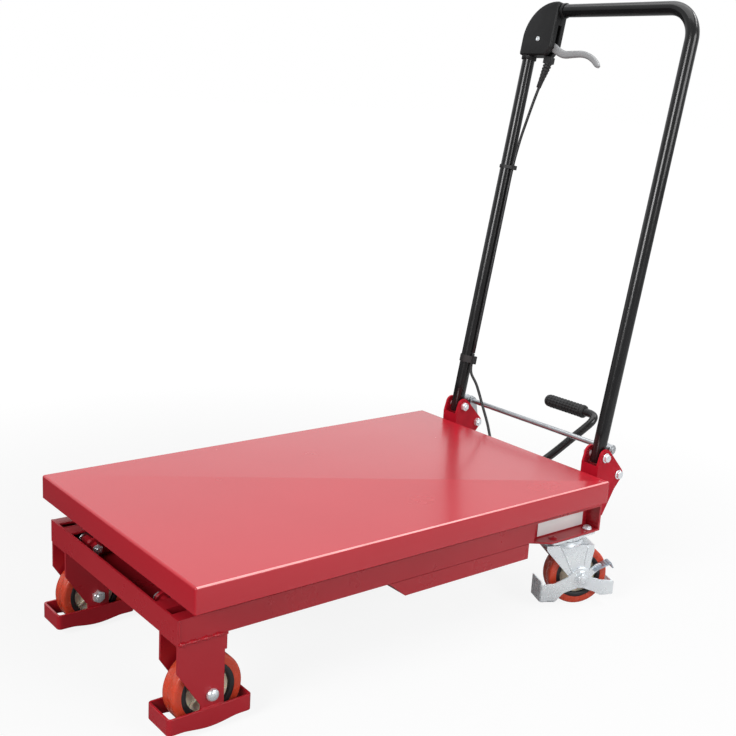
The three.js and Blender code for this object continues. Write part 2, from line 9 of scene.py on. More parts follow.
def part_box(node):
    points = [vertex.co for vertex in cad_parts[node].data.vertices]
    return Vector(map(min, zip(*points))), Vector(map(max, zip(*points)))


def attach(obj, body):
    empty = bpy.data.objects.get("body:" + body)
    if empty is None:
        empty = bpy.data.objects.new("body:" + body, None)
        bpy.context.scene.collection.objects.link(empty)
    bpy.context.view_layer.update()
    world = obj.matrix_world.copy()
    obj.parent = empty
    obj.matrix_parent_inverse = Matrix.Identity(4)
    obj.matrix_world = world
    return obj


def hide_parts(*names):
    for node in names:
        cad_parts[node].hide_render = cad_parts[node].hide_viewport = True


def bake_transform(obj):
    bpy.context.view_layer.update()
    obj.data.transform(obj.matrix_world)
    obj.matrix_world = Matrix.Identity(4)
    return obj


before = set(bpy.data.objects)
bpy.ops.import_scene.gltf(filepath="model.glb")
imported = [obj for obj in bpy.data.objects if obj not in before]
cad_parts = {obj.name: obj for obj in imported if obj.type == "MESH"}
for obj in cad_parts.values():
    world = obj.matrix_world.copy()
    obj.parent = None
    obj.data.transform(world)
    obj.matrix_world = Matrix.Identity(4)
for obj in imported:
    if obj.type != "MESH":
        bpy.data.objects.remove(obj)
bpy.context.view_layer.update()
scene = bpy.context.scene
MM = 0.001
random.seed(7)

# ------------------------------------------------------------------ the frame
_lo, _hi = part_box("table_top")
SH = (_lo.x + _hi.x) / 2 / MM          # how far the part is shifted along x, mm


def W(x, y, z):
    return Vector(((x + SH) * MM, y * MM, z * MM))


def V(*a):
    return Vector(a)


X, Y, Z = V(1, 0, 0), V(0, 1, 0), V(0, 0, 1)
LEAN = math.radians(10)
HU, HV = V(0, 1, 0), V(math.sin(LEAN), 0, math.cos(LEAN))
HN = HU.cross(HV)
HO = W(404, 0, 241)


def hp(u, v, n=0.0):
    return HO + HU * (u * MM) + HV * (v * MM) + HN * (n * MM)


# ---------------------------------------------------------------- camera first
def camera():
    az, el, roll = math.radians(-39.012), math.radians(13.874), math.radians(3.283)
    back = V(math.sin(az) * math.cos(el), -math.cos(az) * math.cos(el), math.sin(el))
    right = (-back).cross(Z).normalized()
    up = right.cross(-back).normalized()
    c, s = math.cos(roll), math.sin(roll)
    r2, u2 = right * c + up * s, right * -s + up * c
    m = Matrix((r2, u2, back)).transposed().to_4x4()
    m.translation = W(-979.8, -1272.7, 791.5)
    cam = bpy.data.cameras.new("camera")
    cam.sensor_width = 36
    cam.lens = 36 * 1117.2 / 736
    cam.clip_start, cam.clip_end = 0.05, 60
    o = bpy.data.objects.new("camera", cam)
    scene.collection.objects.link(o)
    o.matrix_world = m
    scene.camera = o


camera()
scene.view_settings.view_transform = "Standard"


# ------------------------------------------------------------------- materials
def mat(name, color, rough, metal=0.0, coat=0.0, coat_rough=0.08, vary=0.06, vary_scale=9,
        rough_vary=0.06, peel=0.0, peel_scale=420, grain=0.0, grain_scale=1500, scratch=0.0,
        dirt=0.0, spec=0.5, ior=1.5, brushed=0.0, brush_dir=(1, 1, 1), sss=0.0):
    m = bpy.data.materials.new(name)
    m.use_nodes = True
    nt = m.node_tree
    for n in list(nt.nodes):
        nt.nodes.remove(n)
    N, L = nt.nodes.new, nt.links.new
    out, p = N("ShaderNodeOutputMaterial"), N("ShaderNodeBsdfPrincipled")
    L(p.outputs[0], out.inputs[0])
    p.inputs["Metallic"].default_value = metal
    p.inputs["Coat Weight"].default_value = coat
    p.inputs["Coat Roughness"].default_value = coat_rough
    p.inputs["Specular IOR Level"].default_value = spec
    p.inputs["IOR"].default_value = ior
    if sss:
        p.inputs["Subsurface Weight"].default_value = sss
        p.inputs["Subsurface Scale"].default_value = 0.004
    tc = N("ShaderNodeTexCoord")

    def noise(scale, detail=4, rough_=0.55, vec=None):
        n = N("ShaderNodeTexNoise")
        n.inputs["Scale"].default_value = scale
        n.inputs["Detail"].default_value = detail
        n.inputs["Roughness"].default_value = rough_
        L(vec or tc.outputs["Object"], n.inputs["Vector"])
        return n.outputs["Fac"]

    def remap(fac, a, b, lo, hi):
        r = N("ShaderNodeMapRange")
        for k, v in zip(("From Min", "From Max", "To Min", "To Max"), (a, b, lo, hi)):
            r.inputs[k].default_value = v
        L(fac, r.inputs["Value"])
        return r.outputs[0]

    # colour: slow mottling, plus a little dirt in patches
    dark = [c * (1 - vary) for c in color]
    light = [min(1, c * (1 + vary) + 0.004) for c in color]
    mix = N("ShaderNodeMix")
    mix.data_type = "RGBA"
    L(remap(noise(vary_scale, 3), 0.3, 0.7, 0, 1), mix.inputs["Factor"])
    mix.inputs["A"].default_value = (*dark, 1)
    mix.inputs["B"].default_value = (*light, 1)
    col = mix.outputs["Result"]
    rfac = noise(vary_scale * 3.1, 5)
    if scratch:
        # fine wear marks: thin bands of a stretched noise
        mp = N("ShaderNodeMapping")
        mp.inputs["Scale"].default_value = (1, 14, 14)
        mp.inputs["Rotation"].default_value = (0.2, 0.3, 0.9)
        L(tc.outputs["Object"], mp.inputs["Vector"])
        s = remap(noise(30, 6, 0.75, mp.outputs[0]), 0.63, 0.68, 0, scratch)
        m2 = N("ShaderNodeMix")
        m2.data_type = "RGBA"
        L(s, m2.inputs["Factor"])
        L(col, m2.inputs["A"])
        m2.inputs["B"].default_value = (*[min(1, c * 0.7 + 0.12) for c in color], 1)
        col = m2.outputs["Result"]
    if dirt:
        d = remap(noise(26, 8, 0.7), 0.56, 0.75, 0, dirt)
        m3 = N("ShaderNodeMix")
        m3.data_type = "RGBA"
        L(d, m3.inputs["Factor"])
        L(col, m3.inputs["A"])
        m3.inputs["B"].default_value = (0.08, 0.07, 0.06, 1)
        col = m3.outputs["Result"]
    L(col, p.inputs["Base Color"])
    L(remap(rfac, 0.25, 0.75, max(0.02, rough - rough_vary), min(1, rough + rough_vary)), p.inputs["Roughness"])
    bump_in = None
    for strength, fac, dist in (
        (peel, noise(peel_scale, 2, 0.5) if peel else None, 0.0004),
        (grain, noise(grain_scale, 3, 0.6) if grain else None, 0.0003),
    ):
        if not strength:
            continue
        b = N("ShaderNodeBump")
        b.inputs["Strength"].default_value = strength
        b.inputs["Distance"].default_value = dist
        L(fac, b.inputs["Height"])
        if bump_in:
            L(bump_in, b.inputs["Normal"])
        bump_in = b.outputs[0]
    if brushed:
        mp = N("ShaderNodeMapping")
        mp.inputs["Scale"].default_value = brush_dir
        L(tc.outputs["Object"], mp.inputs["Vector"])
        b = N("ShaderNodeBump")
        b.inputs["Strength"].default_value = brushed
        b.inputs["Distance"].default_value = 0.0002
        L(noise(900, 3, 0.6, mp.outputs[0]), b.inputs["Height"])
        if bump_in:
            L(bump_in, b.inputs["Normal"])
        bump_in = b.outputs[0]
    if bump_in:
        L(bump_in, p.inputs["Normal"])
    return m


RED = mat("red_enamel", (0.42, 0.009, 0.019), 0.30, coat=0.15, coat_rough=0.10, vary=0.05, vary_scale=6, peel=0.07, peel_scale=330, scratch=0.0, rough_vary=0.06)
RED_TOP = mat("red_enamel_deck", (0.46, 0.010, 0.022), 0.26, coat=0.35, coat_rough=0.14, vary=0.03, vary_scale=3, peel=0.025, peel_scale=300, rough_vary=0.02)
# paler red for a painted highlight line along the deck's long top edges
RED_PAINTED_HIGHLIGHT = mat("red_enamel_painted_highlight", (0.80, 0.30, 0.30), 0.22, coat=0.4, coat_rough=0.1, vary=0.10, vary_scale=30, rough_vary=0.05)
RED_BRACKET = mat("red_enamel_bracket", (0.44, 0.005, 0.018), 0.40, vary=0.06, vary_scale=30, peel=0.10, peel_scale=420, rough_vary=0.06, spec=0.15)
BLACK = mat("black_enamel", (0.006, 0.006, 0.0065), 0.22, coat=0.15, coat_rough=0.07, vary=0.2, peel=0.08, peel_scale=450, rough_vary=0.05, spec=0.42)
CAST = mat("black_casting", (0.016, 0.017, 0.019), 0.5, vary=0.25, vary_scale=40, grain=0.35, grain_scale=900, dirt=0.15)
HOUSING = mat("black_moulding", (0.008, 0.008, 0.0085), 0.45, spec=0.35, vary=0.15, vary_scale=30, grain=0.22, grain_scale=1700, rough_vary=0.07)
RUBBER = mat("black_rubber", (0.010, 0.010, 0.0105), 0.55, vary=0.2, vary_scale=50, grain=0.25, grain_scale=1400)
CABLE = mat("cable_jacket", (0.010, 0.010, 0.011), 0.38, vary=0.15, vary_scale=60, grain=0.12, grain_scale=1800)
ZINC = mat("zinc_plate", (0.90, 0.945, 0.985), 0.28, metal=0.74, vary=0.04, vary_scale=30, rough_vary=0.05, grain=0.012, grain_scale=260, dirt=0.02)
ZINC_ROD = mat("zinc_rod", (0.52, 0.54, 0.56), 0.33, metal=1.0, vary=0.08, vary_scale=60, rough_vary=0.08, brushed=0.25, brush_dir=(6, 0.4, 6))
STEEL = mat("turned_steel", (0.42, 0.43, 0.44), 0.34, metal=1.0, vary=0.08, vary_scale=80, brushed=0.3, brush_dir=(1, 8, 1), dirt=0.2)
CHROME = mat("hard_chrome", (0.80, 0.81, 0.83), 0.07, metal=1.0, vary=0.02, rough_vary=0.02)
# darker, bluer copy of the zinc for the toe pedal: painted shade
ZINC_PAINTED_SHADE = mat("toe_pedal_zinc_painted_shade", (0.44, 0.50, 0.57), 0.34, metal=0.9, vary=0.1, vary_scale=60, grain=0.15, grain_scale=900)
LEVER = mat("lever_alloy", (0.36, 0.365, 0.37), 0.42, metal=0.3, vary=0.06, vary_scale=70, grain=0.12, grain_scale=1300, rough_vary=0.06)
TYRE = mat("orange_polyurethane", (0.60, 0.062, 0.026), 0.26, coat=0.15, coat_rough=0.12, vary=0.08, vary_scale=24, rough_vary=0.08, peel=0.05, peel_scale=260, dirt=0.06, sss=0.25)
RIM = mat("rim_black_nylon", (0.016, 0.016, 0.018), 0.36, vary=0.15, vary_scale=60, grain=0.12)
HUB = mat("cream_nylon", (0.80, 0.72, 0.56), 0.38, vary=0.06, vary_scale=50, rough_vary=0.08, grain=0.08, dirt=0.10, sss=0.15)
LABEL = mat("blank_label", (0.86, 0.855, 0.85), 0.33, vary=0.03, vary_scale=20, rough_vary=0.05, grain=0.03)
# steel darkened overall as painted shade between the scissor arms, with dirt patches
STEEL_DIRT_AND_PAINTED_SHADE = mat("dark_steel_dirt_and_painted_shade", (0.20, 0.19, 0.17), 0.35, metal=0.8, vary=0.2, vary_scale=60, dirt=0.4)


# --------------------------------------------------------------------- meshes
def put(name, bm, body, material, replaces=(), smooth=34, bevel=0.0, seg=2, weld_=True, subsurf=0):
    if weld_:
        bmesh.ops.remove_doubles(bm, verts=bm.verts, dist=1e-7)
    bmesh.ops.recalc_face_normals(bm, faces=bm.faces)
    me = bpy.data.meshes.new(name)
    bm.to_mesh(me)
    bm.free()
    for f in me.polygons:
        f.use_smooth = True
    me.set_sharp_from_angle(angle=math.radians(smooth))
    me.materials.append(material)
    o = bpy.data.objects.new(name, me)
    scene.collection.objects.link(o)
    if bevel:
        bevelled(o, bevel, seg)
    if subsurf:
        s = o.modifiers.new("Subdivision", "SUBSURF")
        s.levels = s.render_levels = subsurf
    if body:
        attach(o, body)
    if replaces:
        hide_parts(*([replaces] if isinstance(replaces, str) else replaces))
    return o


def bevelled(o, width, seg=2, angle=34):
    m = o.modifiers.new("Bevel", "BEVEL")
    m.width, m.segments = width * MM, seg
    m.limit_method, m.angle_limit = "ANGLE", math.radians(angle)
    m.harden_normals = True
    m.use_clamp_overlap = True
    m.miter_outer = "MITER_ARC"


def lathe(bm, prof, c, axis=Y, seg=56, ribs=None):
    """profile of (radius, along) in mm turned about axis through c; closes on itself or on the axis"""
    axis = Vector(axis).normalized()
    e1 = (Z if abs(axis.z) < 0.8 else X).copy()
    e1 = (e1 - axis * e1.dot(axis)).normalized()
    e2 = axis.cross(e1)
    rings = []
    for r, a in prof:
        base = c + axis * (a * MM)
        if r < 1e-6:
            rings.append([bm.verts.new(base)])
        else:
            ring = []
            for k in range(seg):
                t = 2 * math.pi * k / seg
                rr = r if ribs is None else ribs(r, a, t)
                ring.append(bm.verts.new(base + (e1 * math.cos(t) + e2 * math.sin(t)) * (rr * MM)))
            rings.append(ring)
    loop = list(zip(rings, rings[1:]))
    if len(rings[0]) > 1 and len(rings[-1]) > 1:
        loop.append((rings[-1], rings[0]))
    for a, b in loop:
        for k in range(seg):
            j = (k + 1) % seg
            if len(a) == 1 and len(b) == 1:
                continue
            if len(a) == 1:
                bm.faces.new((a[0], b[j], b[k]))
            elif len(b) == 1:
                bm.faces.new((a[k], a[j], b[0]))
            else:
                bm.faces.new((a[k], a[j], b[j], b[k]))
    return bm


def rounded(r, a0, a1, f=0.6, core=0.0, n=3):
    """profile of a plain cylinder with rounded rims, from a0 to a1"""
    s = 1 if a1 > a0 else -1
    pts = [(core, a0)]
    for i in range(n + 1):
        t = math.pi / 2 * i / n
        pts.append((r - f + f * math.sin(t), a0 + s * (f - f * math.cos(t))))
    for i in range(n + 1):
        t = math.pi / 2 * i / n
        pts.append((r - f + f * math.cos(t), a1 - s * (f - f * math.sin(t))))
    pts.append((core, a1))
    return pts


def bar(bm, a, b, r, seg=32, f=0.5):
    d = b - a
    return lathe(bm, rounded(r, 0, d.length / MM, f), a, d, seg)


def tube(bm, pts, r, sides=24, cap=0.8):
    """round bar swept through pts (metres), rims rounded by cap mm; r is mm or a list"""
    n = len(pts)
    rs = list(r) if hasattr(r, "__len__") else [r] * n
    tang = [(pts[min(i + 1, n - 1)] - pts[max(i - 1, 0)]).normalized() for i in range(n)]
    e = (Y if abs(tang[0].y) < 0.9 else X).copy()
    e = (e - tang[0] * e.dot(tang[0])).normalized()
    rings = []
    if cap:
        t0, t1 = tang[0], tang[-1]
        seq = [(pts[0] + t0 * 0, t0, rs[0] - cap)] + [(pts[0] + t0 * (cap * MM), t0, rs[0])]
        for i in range(1, n - 1):
            seq.append((pts[i], tang[i], rs[i]))
        seq += [(pts[-1] - t1 * (cap * MM), t1, rs[-1]), (pts[-1], t1, rs[-1] - cap)]
    else:
        seq = [(pts[i], tang[i], rs[i]) for i in range(n)]
    for p, t, rr in seq:
        e = (e - t * e.dot(t)).normalized()
        f = t.cross(e)
        rings.append([bm.verts.new(p + (e * math.cos(2 * math.pi * k / sides) + f * math.sin(2 * math.pi * k / sides)) * (rr * MM)) for k in range(sides)])
    for a, b in zip(rings, rings[1:]):
        for k in range(sides):
            j = (k + 1) % sides
            bm.faces.new((a[k], a[j], b[j], b[k]))
    bm.faces.new(rings[0])
    bm.faces.new(list(reversed(rings[-1])))
    return bm


def prism(bm, pts, o, U, Vv, n0, n1):
    N = Vector(U).cross(Vector(Vv))
    a = [bm.verts.new(o + U * (u * MM) + Vv * (v * MM) + N * (n0 * MM)) for u, v in pts]
    b = [bm.verts.new(o + U * (u * MM) + Vv * (v * MM) + N * (n1 * MM)) for u, v in pts]
    n = len(pts)
    for i in range(n):
        j = (i + 1) % n
        bm.faces.new((a[i], a[j], b[j], b[i]))
    bm.faces.new(list(reversed(a)))
    bm.faces.new(b)
    return bm


def block(bm, p0, p1, frame_=None):
    m = frame_ or Matrix.Identity(4)
    x0, y0, z0 = p0
    x1, y1, z1 = p1
    c = [bm.verts.new(m @ Vector(q)) for q in (
        (x0, y0, z0), (x1, y0, z0), (x1, y1, z0), (x0, y1, z0), (x0, y0, z1), (x1, y0, z1), (x1, y1, z1), (x0, y1, z1))]
    for f in ((0, 3, 2, 1), (4, 5, 6, 7), (0, 1, 5, 4), (1, 2, 6, 5), (2, 3, 7, 6), (3, 0, 4, 7)):
        bm.faces.new([c[i] for i in f])
    return bm


def boxw(bm, x0, x1, y0, y1, z0, z1):
    a, b = W(min(x0, x1), min(y0, y1), min(z0, z1)), W(max(x0, x1), max(y0, y1), max(z0, z1))
    return block(bm, a, b)


def arc(cx, cy, r, d0, d1, n=10):
    return [(cx + r * math.cos(math.radians(d0 + (d1 - d0) * i / n)), cy + r * math.sin(math.radians(d0 + (d1 - d0) * i / n))) for i in range(n + 1)]


def link(x0, z0, r0, x1, z1, r1, n=14):
    d = math.hypot(x1 - x0, z1 - z0)
    a, b = math.degrees(math.atan2(z1 - z0, x1 - x0)), math.degrees(math.acos((r0 - r1) / d))
    return arc(x0, z0, r0, a + b, a - b + 360, n) + arc(x1, z1, r1, a - b, a + b, n)


def fillet(pts, r, n=5):
    """rounds each corner of a closed outline; r is one radius or one for each corner"""
    out, m = [], len(pts)
    for i in range(m):
        p, a, b = Vector(pts[i]), Vector(pts[i - 1]), Vector(pts[(i + 1) % m])
        ri = r[i] if hasattr(r, "__len__") else r
        u, v = (a - p), (b - p)
        if ri <= 0 or u.length < 1e-6 or v.length < 1e-6:
            out.append(tuple(p))
            continue
        ang = u.angle(v)
        if ang > math.pi - 0.02:
            out.append(tuple(p))
            continue
        d = min(ri / math.tan(ang / 2), u.length * 0.48, v.length * 0.48)
        s, e = p + u.normalized() * d, p + v.normalized() * d
        for k in range(n + 1):
            t = k / n
            q = s * (1 - t) ** 2 + p * (2 * t * (1 - t)) + e * t * t
            out.append((q.x, q.y))
    return out


def spline(points, n):
    """centripetal-like smooth curve through the points, evenly spaced"""
    P = [Vector(p) for p in points]
    P = [P[0] * 2 - P[1]] + P + [P[-1] * 2 - P[-2]]
    raw = []
    for i in range(1, len(P) - 2):
        p0, p1, p2, p3 = P[i - 1:i + 3]
        t = [0.0]
        for a, b in ((p0, p1), (p1, p2), (p2, p3)):
            t.append(t[-1] + max((b - a).length, 1e-9) ** 0.5)
        for k in range(24):
            u = t[1] + (t[2] - t[1]) * k / 24
            A1 = p0 * ((t[1] - u) / (t[1] - t[0])) + p1 * ((u - t[0]) / (t[1] - t[0]))
            A2 = p1 * ((t[2] - u) / (t[2] - t[1])) + p2 * ((u - t[1]) / (t[2] - t[1]))
            A3 = p2 * ((t[3] - u) / (t[3] - t[2])) + p3 * ((u - t[2]) / (t[3] - t[2]))
            B1 = A1 * ((t[2] - u) / (t[2] - t[0])) + A2 * ((u - t[0]) / (t[2] - t[0]))
            B2 = A2 * ((t[3] - u) / (t[3] - t[1])) + A3 * ((u - t[1]) / (t[3] - t[1]))
            raw.append(B1 * ((t[2] - u) / (t[2] - t[1])) + B2 * ((u - t[1]) / (t[2] - t[1])))
    raw.append(P[-2])
    s = [0.0]
    for a, b in zip(raw, raw[1:]):
        s.append(s[-1] + (b - a).length)
    out, j = [], 0
    for i in range(n + 1):
        want = s[-1] * i / n
        while j < len(s) - 2 and s[j + 1] < want:
            j += 1
        k = (want - s[j]) / max(s[j + 1] - s[j], 1e-12)
        out.append(raw[j].lerp(raw[j + 1], min(max(k, 0), 1)))
    return out


def hexagon(bm, c, axis, r, h, flange=0.0, dome=0.0):
    """hexagon head or nut from c along axis, corners chamfered, optional washer flange and domed bolt end"""
    axis = Vector(axis).normalized()
    e1 = (Z if abs(axis.z) < 0.8 else X).copy()
    e1 = (e1 - axis * e1.dot(axis)).normalized()
    e2 = axis.cross(e1)
    f = 1.2 if flange else 0.0
    if flange:
        lathe(bm, [(0, 0), (flange - 0.3, 0), (flange, 0.3), (flange, 0.9), (flange - 0.4, 1.2), (0, 1.2)], c, axis, 32)
    rings = []
    for rr, z, mixk in ((r, f, 0), (r, h - 1.0, 0), (r * 0.955, h - 0.35, 0), (r * 0.86, h, 1)):
        ring = []
        for k in range(24):
            t = 2 * math.pi * k / 24
            hexr = rr * math.cos(math.pi / 6) / math.cos((t % (math.pi / 3)) - math.pi / 6)
            q = min(hexr, rr) if not mixk else r * 0.84
            ring.append(bm.verts.new(c + axis * (z * MM) + (e1 * math.cos(t) + e2 * math.sin(t)) * (q * MM)))
        rings.append(ring)
    for a, b in zip(rings, rings[1:]):
        for k in range(24):
            j = (k + 1) % 24
            bm.faces.new((a[k], a[j], b[j], b[k]))
    bm.faces.new(list(reversed(rings[0])))
    bm.faces.new(rings[-1])
    if dome:
        lathe(bm, [(0, h - 1), (dome, h - 1), (dome, h + 0.9), (dome - 0.7, h + 1.9), (0, h + 2.2)], c, axis, 24)
    return bm


def seam(name, pts, body, r=1.7, pitch=2.1, sides=8, spread=0.25):
    """weld bead: rippled run along pts (mm points)"""
    P = [W(*p) for p in pts]
    length = sum((b - a).length for a, b in zip(P, P[1:])) / MM
    n = max(6, int(length / 0.7))
    line = spline(P, n) if len(P) > 2 else [P[0].lerp(P[1], i / n) for i in range(n + 1)]
    rs = []
    for i in range(n + 1):
        s = length * i / n
        ripple = abs(math.sin(math.pi * s / pitch)) ** 0.7
        end = min(1, 0.35 + min(i, n - i) * 0.35)
        rs.append(max(0.4, r * (0.78 + 0.25 * ripple + spread * 0.5 * math.sin(s * 0.37 + len(name))) * end))
    bm = bmesh.new()
    tube(bm, line, rs, sides, cap=0)
    return put(name, bm, body, RED, smooth=60)


def dress(names, material, bevel=0.6, seg=2, angle=34):
    """a CAD node that keeps its shape: flat faces dissolved, edges rounded, its own material"""
    for n in ([names] if isinstance(names, str) else names):
        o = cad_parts[n]
        me = o.data
        for f in me.polygons:
            f.use_smooth = True
        me.set_sharp_from_angle(angle=math.radians(angle))
        if not me.materials:
            me.materials.append(material)
        for i in range(len(me.materials)):
            me.materials[i] = material
        if bevel:
            d = o.modifiers.new("Planar", "DECIMATE")
            d.decimate_type = "DISSOLVE"
            d.angle_limit = math.radians(0.6)
            bevelled(o, bevel, seg, angle)


def boolean(o, other, op="DIFFERENCE"):
    m = o.modifiers.new("cut", "BOOLEAN")
    m.operation, m.object, m.solver = op, other, "EXACT"
    bpy.context.view_layer.update()
    deps = bpy.context.evaluated_depsgraph_get()
    me = bpy.data.meshes.new_from_object(o.evaluated_get(deps))
    o.modifiers.remove(m)
    o.data = me
    bpy.data.objects.remove(other)
    return o


def loose(name, bm):
    bmesh.ops.recalc_face_normals(bm, faces=bm.faces)
    me = bpy.data.meshes.new(name)
    bm.to_mesh(me)
    bm.free()
    o = bpy.data.objects.new(name, me)
    scene.collection.objects.link(o)
    return o


def finish_mesh(o, material, smooth=34):
    for f in o.data.polygons:
        f.use_smooth = True
        f.material_index = 0
    o.data.set_sharp_from_angle(angle=math.radians(smooth))
    o.data.materials.clear()
    o.data.materials.append(material)


SIDES = (("left", -1), ("right", 1))

# ------------------------------------------------------------------ table top
def deck():
    hx, hy, t = 370, 225, 2.5
    bm = bmesh.new()
    boxw(bm, -hx, hx, -hy, hy, 185, 220)
    bmesh.ops.recalc_face_normals(bm, faces=bm.faces)
    # folded top edges, tighter welded corners
    top = [e for e in bm.edges if all(abs(v.co.z - 0.220) < 1e-6 for v in e.verts)]
    up = [e for e in bm.edges if abs(e.verts[0].co.z - e.verts[1].co.z) > 0.03]
    bmesh.ops.bevel(bm, geom=up, offset=3.2 * MM, segments=5, profile=0.5, affect="EDGES")
    top = [e for e in bm.edges if all(abs(v.co.z - 0.220) < 1e-6 for v in e.verts) and len(e.link_faces) == 2]
    bmesh.ops.bevel(bm, geom=top, offset=3.4 * MM, segments=6, profile=0.5, affect="EDGES")
    o = loose("deck", bm)
    cutter = bmesh.new()
    boxw(cutter, -hx + t, hx - t, -hy + t, hy - t, 180, 217.2)
    o = boolean(o, loose("cut", cutter))
    for s in (-1, 1):
        r = bmesh.new()
        prism(r, [(s * 124, 185.5), (s * 151.8, 185.5), (s * 151.8, 217.6), (s * 149, 217.6), (s * 149, 188.3), (s * 124, 188.3)], W(-364, 0, 0), Y, Z, 0, 644)
        o = boolean(o, loose("rail", r), "UNION")
        r = bmesh.new()
        prism(r, [(s * 149, 185.5), (s * 151.8, 185.5), (s * 151.8, 217.6), (s * 149, 217.6)], W(279, 0, 0), Y, Z, 0, 81)
        o = boolean(o, loose("rail", r), "UNION")
    bm = bmesh.new()
    bm.from_mesh(o.data)
    bmesh.ops.remove_doubles(bm, verts=bm.verts, dist=1e-6)
    bm.to_mesh(o.data)
    bm.free()
    finish_mesh(o, RED_TOP, 40)
    # fillet faces along the long top edges get the paler red: a painted highlight line
    o.data.materials.append(RED_PAINTED_HIGHLIGHT)
    for f in o.data.polygons:
        n = f.normal
        if f.center.z > 0.2165 and 0.45 < n.z < 0.93 and abs(n.y) > 0.3 and abs(n.x) < 0.2:
            f.material_index = 1
    o.name = "deck_pan"
    bevelled(o, 0.5, 2, 40)
    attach(o, "table")
    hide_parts("table_top")


deck()
dress(["base_frame"], RED, 0.7, 2)
dress(["pump_tray"], RED, 0.8, 3)
dress(["front_fork_left", "front_fork_right", "rear_channel_left", "rear_channel_right"], RED, 0.8, 2)
dress(["handle_bracket_left", "handle_bracket_right"], RED_BRACKET, 0.8, 2)
dress(["outer_arm_frame", "inner_arm_frame"], RED, 0.8, 2, 30)
dress(["rating_plate"], LABEL, 0.12, 1)
dress(["pump_body"], CAST, 1.0, 2)
dress(["valve_lever"], ZINC, 0.4, 2)


# ---------------------------------------------------------------- foot guards
def guard(side, s):
    x0, x1, ya, yb, t, R = -385, -264, 136.2, 191.8, 3.5, 6.0
    cx, cy, hx, hy = (x0 + x1) / 2, s * (ya + yb) / 2, (x1 - x0) / 2, (yb - ya) / 2

    def loop(inset):
        r = max(R - inset, 1.6)
        out = []
        for qx, qy, a in ((1, 1, 0), (-1, 1, 90), (-1, -1, 180), (1, -1, 270)):
            ox, oy = cx + qx * (hx - inset - r), cy + qy * (hy - inset - r)
            out += [(p[0], p[1]) for p in arc(ox, oy, r, a, a + 90, 6)]
            # extra points along the following straight side
            nx, ny = {0: (-1, 1), 90: (-1, -1), 180: (1, -1), 270: (1, 1)}[a]
            ex, ey = cx + nx * (hx - inset - r), cy + ny * (hy - inset - r)
            last = out[-1]
            nxt = arc(ex, ey, r, a + 90, a + 180, 6)[0]
            for k in range(1, 24):
                out.append((last[0] + (nxt[0] - last[0]) * k / 24, last[1] + (nxt[1] - last[1]) * k / 24))
        return out

    def low(x):
        u = (x - (x0 + 22)) / (x1 - x0 - 44)
        if u <= 0 or u >= 1:
            return 12.0
        return 12.0 - 4.4 * math.sin(math.pi * u) ** 1.3

    bm = bmesh.new()
    o_, i_ = loop(0), loop(t)
    rows = []
    for (ox, oy), (ix, iy) in zip(o_, i_):
        rows.append([bm.verts.new(W(ox, oy, low(ox))), bm.verts.new(W(ox, oy, 34)), bm.verts.new(W(ix, iy, 34)), bm.verts.new(W(ix, iy, low(ix)))])
    n = len(rows)
    for i in range(n):
        a, b = rows[i], rows[(i + 1) % n]
        for k in range(4):
            j = (k + 1) % 4
            bm.faces.new((a[k], b[k], b[j], a[j]))
    put(f"foot_guard_loop_{side}", bm, "base", RED, f"foot_guard_{side}", smooth=40, bevel=0.6)


# --------------------------------------------------------------------- wheels
def wheel(prefix, c, axis, body, cad):
    bm = bmesh.new()
    lathe(bm, [(38.3, -14.9), (44, -15), (46.4, -14.9), (48.2, -14.3), (49.4, -13.2), (49.9, -11.6), (50, -9), (50, -0.45), (49.8, 0), (50, 0.45), (50, 9), (49.9, 11.6), (49.4, 13.2), (48.2, 14.3), (46.4, 14.9), (44, 15), (38.3, 14.9)], c, axis, 96)
    put(f"{prefix}_tread", bm, body, TYRE, cad[0], smooth=50)
    bm = bmesh.new()
    ring = [(30.2, -9.0), (30.6, -12.4), (31.4, -14.2), (32.8, -14.9), (37.4, -15.1), (38.2, -14.6), (38.2, 14.6), (37.4, 15.1), (32.8, 14.9), (31.4, 14.2), (30.6, 12.4), (30.2, 9.0)]
    lathe(bm, ring, c, axis, 80)
    put(f"{prefix}_rim", bm, body, RIM, smooth=40)

    def ribs(r, a, t):
        return r
    bm = bmesh.new()
    hub = [(6.5, -17.2), (7.6, -17.6), (10.4, -17.6), (11.3, -17.0), (11.9, -14.8), (12.8, -11.6), (14.6, -9.2), (24, -8.3), (27.6, -9.0), (30.1, -11.2), (30.1, 11.2), (27.6, 9.0), (24, 8.3), (14.6, 9.2), (12.8, 11.6), (11.9, 14.8), (11.3, 17.0), (10.4, 17.6), (7.6, 17.6), (6.5, 17.2)]
    lathe(bm, hub, c, axis, 72)
    # stiffening ribs on both faces of the hub
    ax = Vector(axis).normalized()
    e1 = (Z - ax * Z.dot(ax)).normalized()
    e2 = ax.cross(e1)
    for k in range(8):
        t = 2 * math.pi * (k + 0.25) / 8
        d, q = e1 * math.cos(t) + e2 * math.sin(t), -e1 * math.sin(t) + e2 * math.cos(t)
        for f in (-1, 1):
            m = Matrix((d, q, ax * f)).transposed().to_4x4()
            m.translation = c
            block(bm, (0.0115, -0.0011, 0.0075), (0.0292, 0.0011, 0.0118), m)
    o = put(f"{prefix}_hub", bm, body, HUB, cad[1], smooth=40, weld_=False)
    bm = bmesh.new()
    for f in (-1, 1):
        lathe(bm, [(6.4, 17.3), (6.9, 17.9), (9.2, 17.95), (9.7, 17.5), (9.7, 17.2), (6.4, 17.2)], c, ax * f, 40)
    put(f"{prefix}_bearing", bm, body, STEEL, smooth=40)


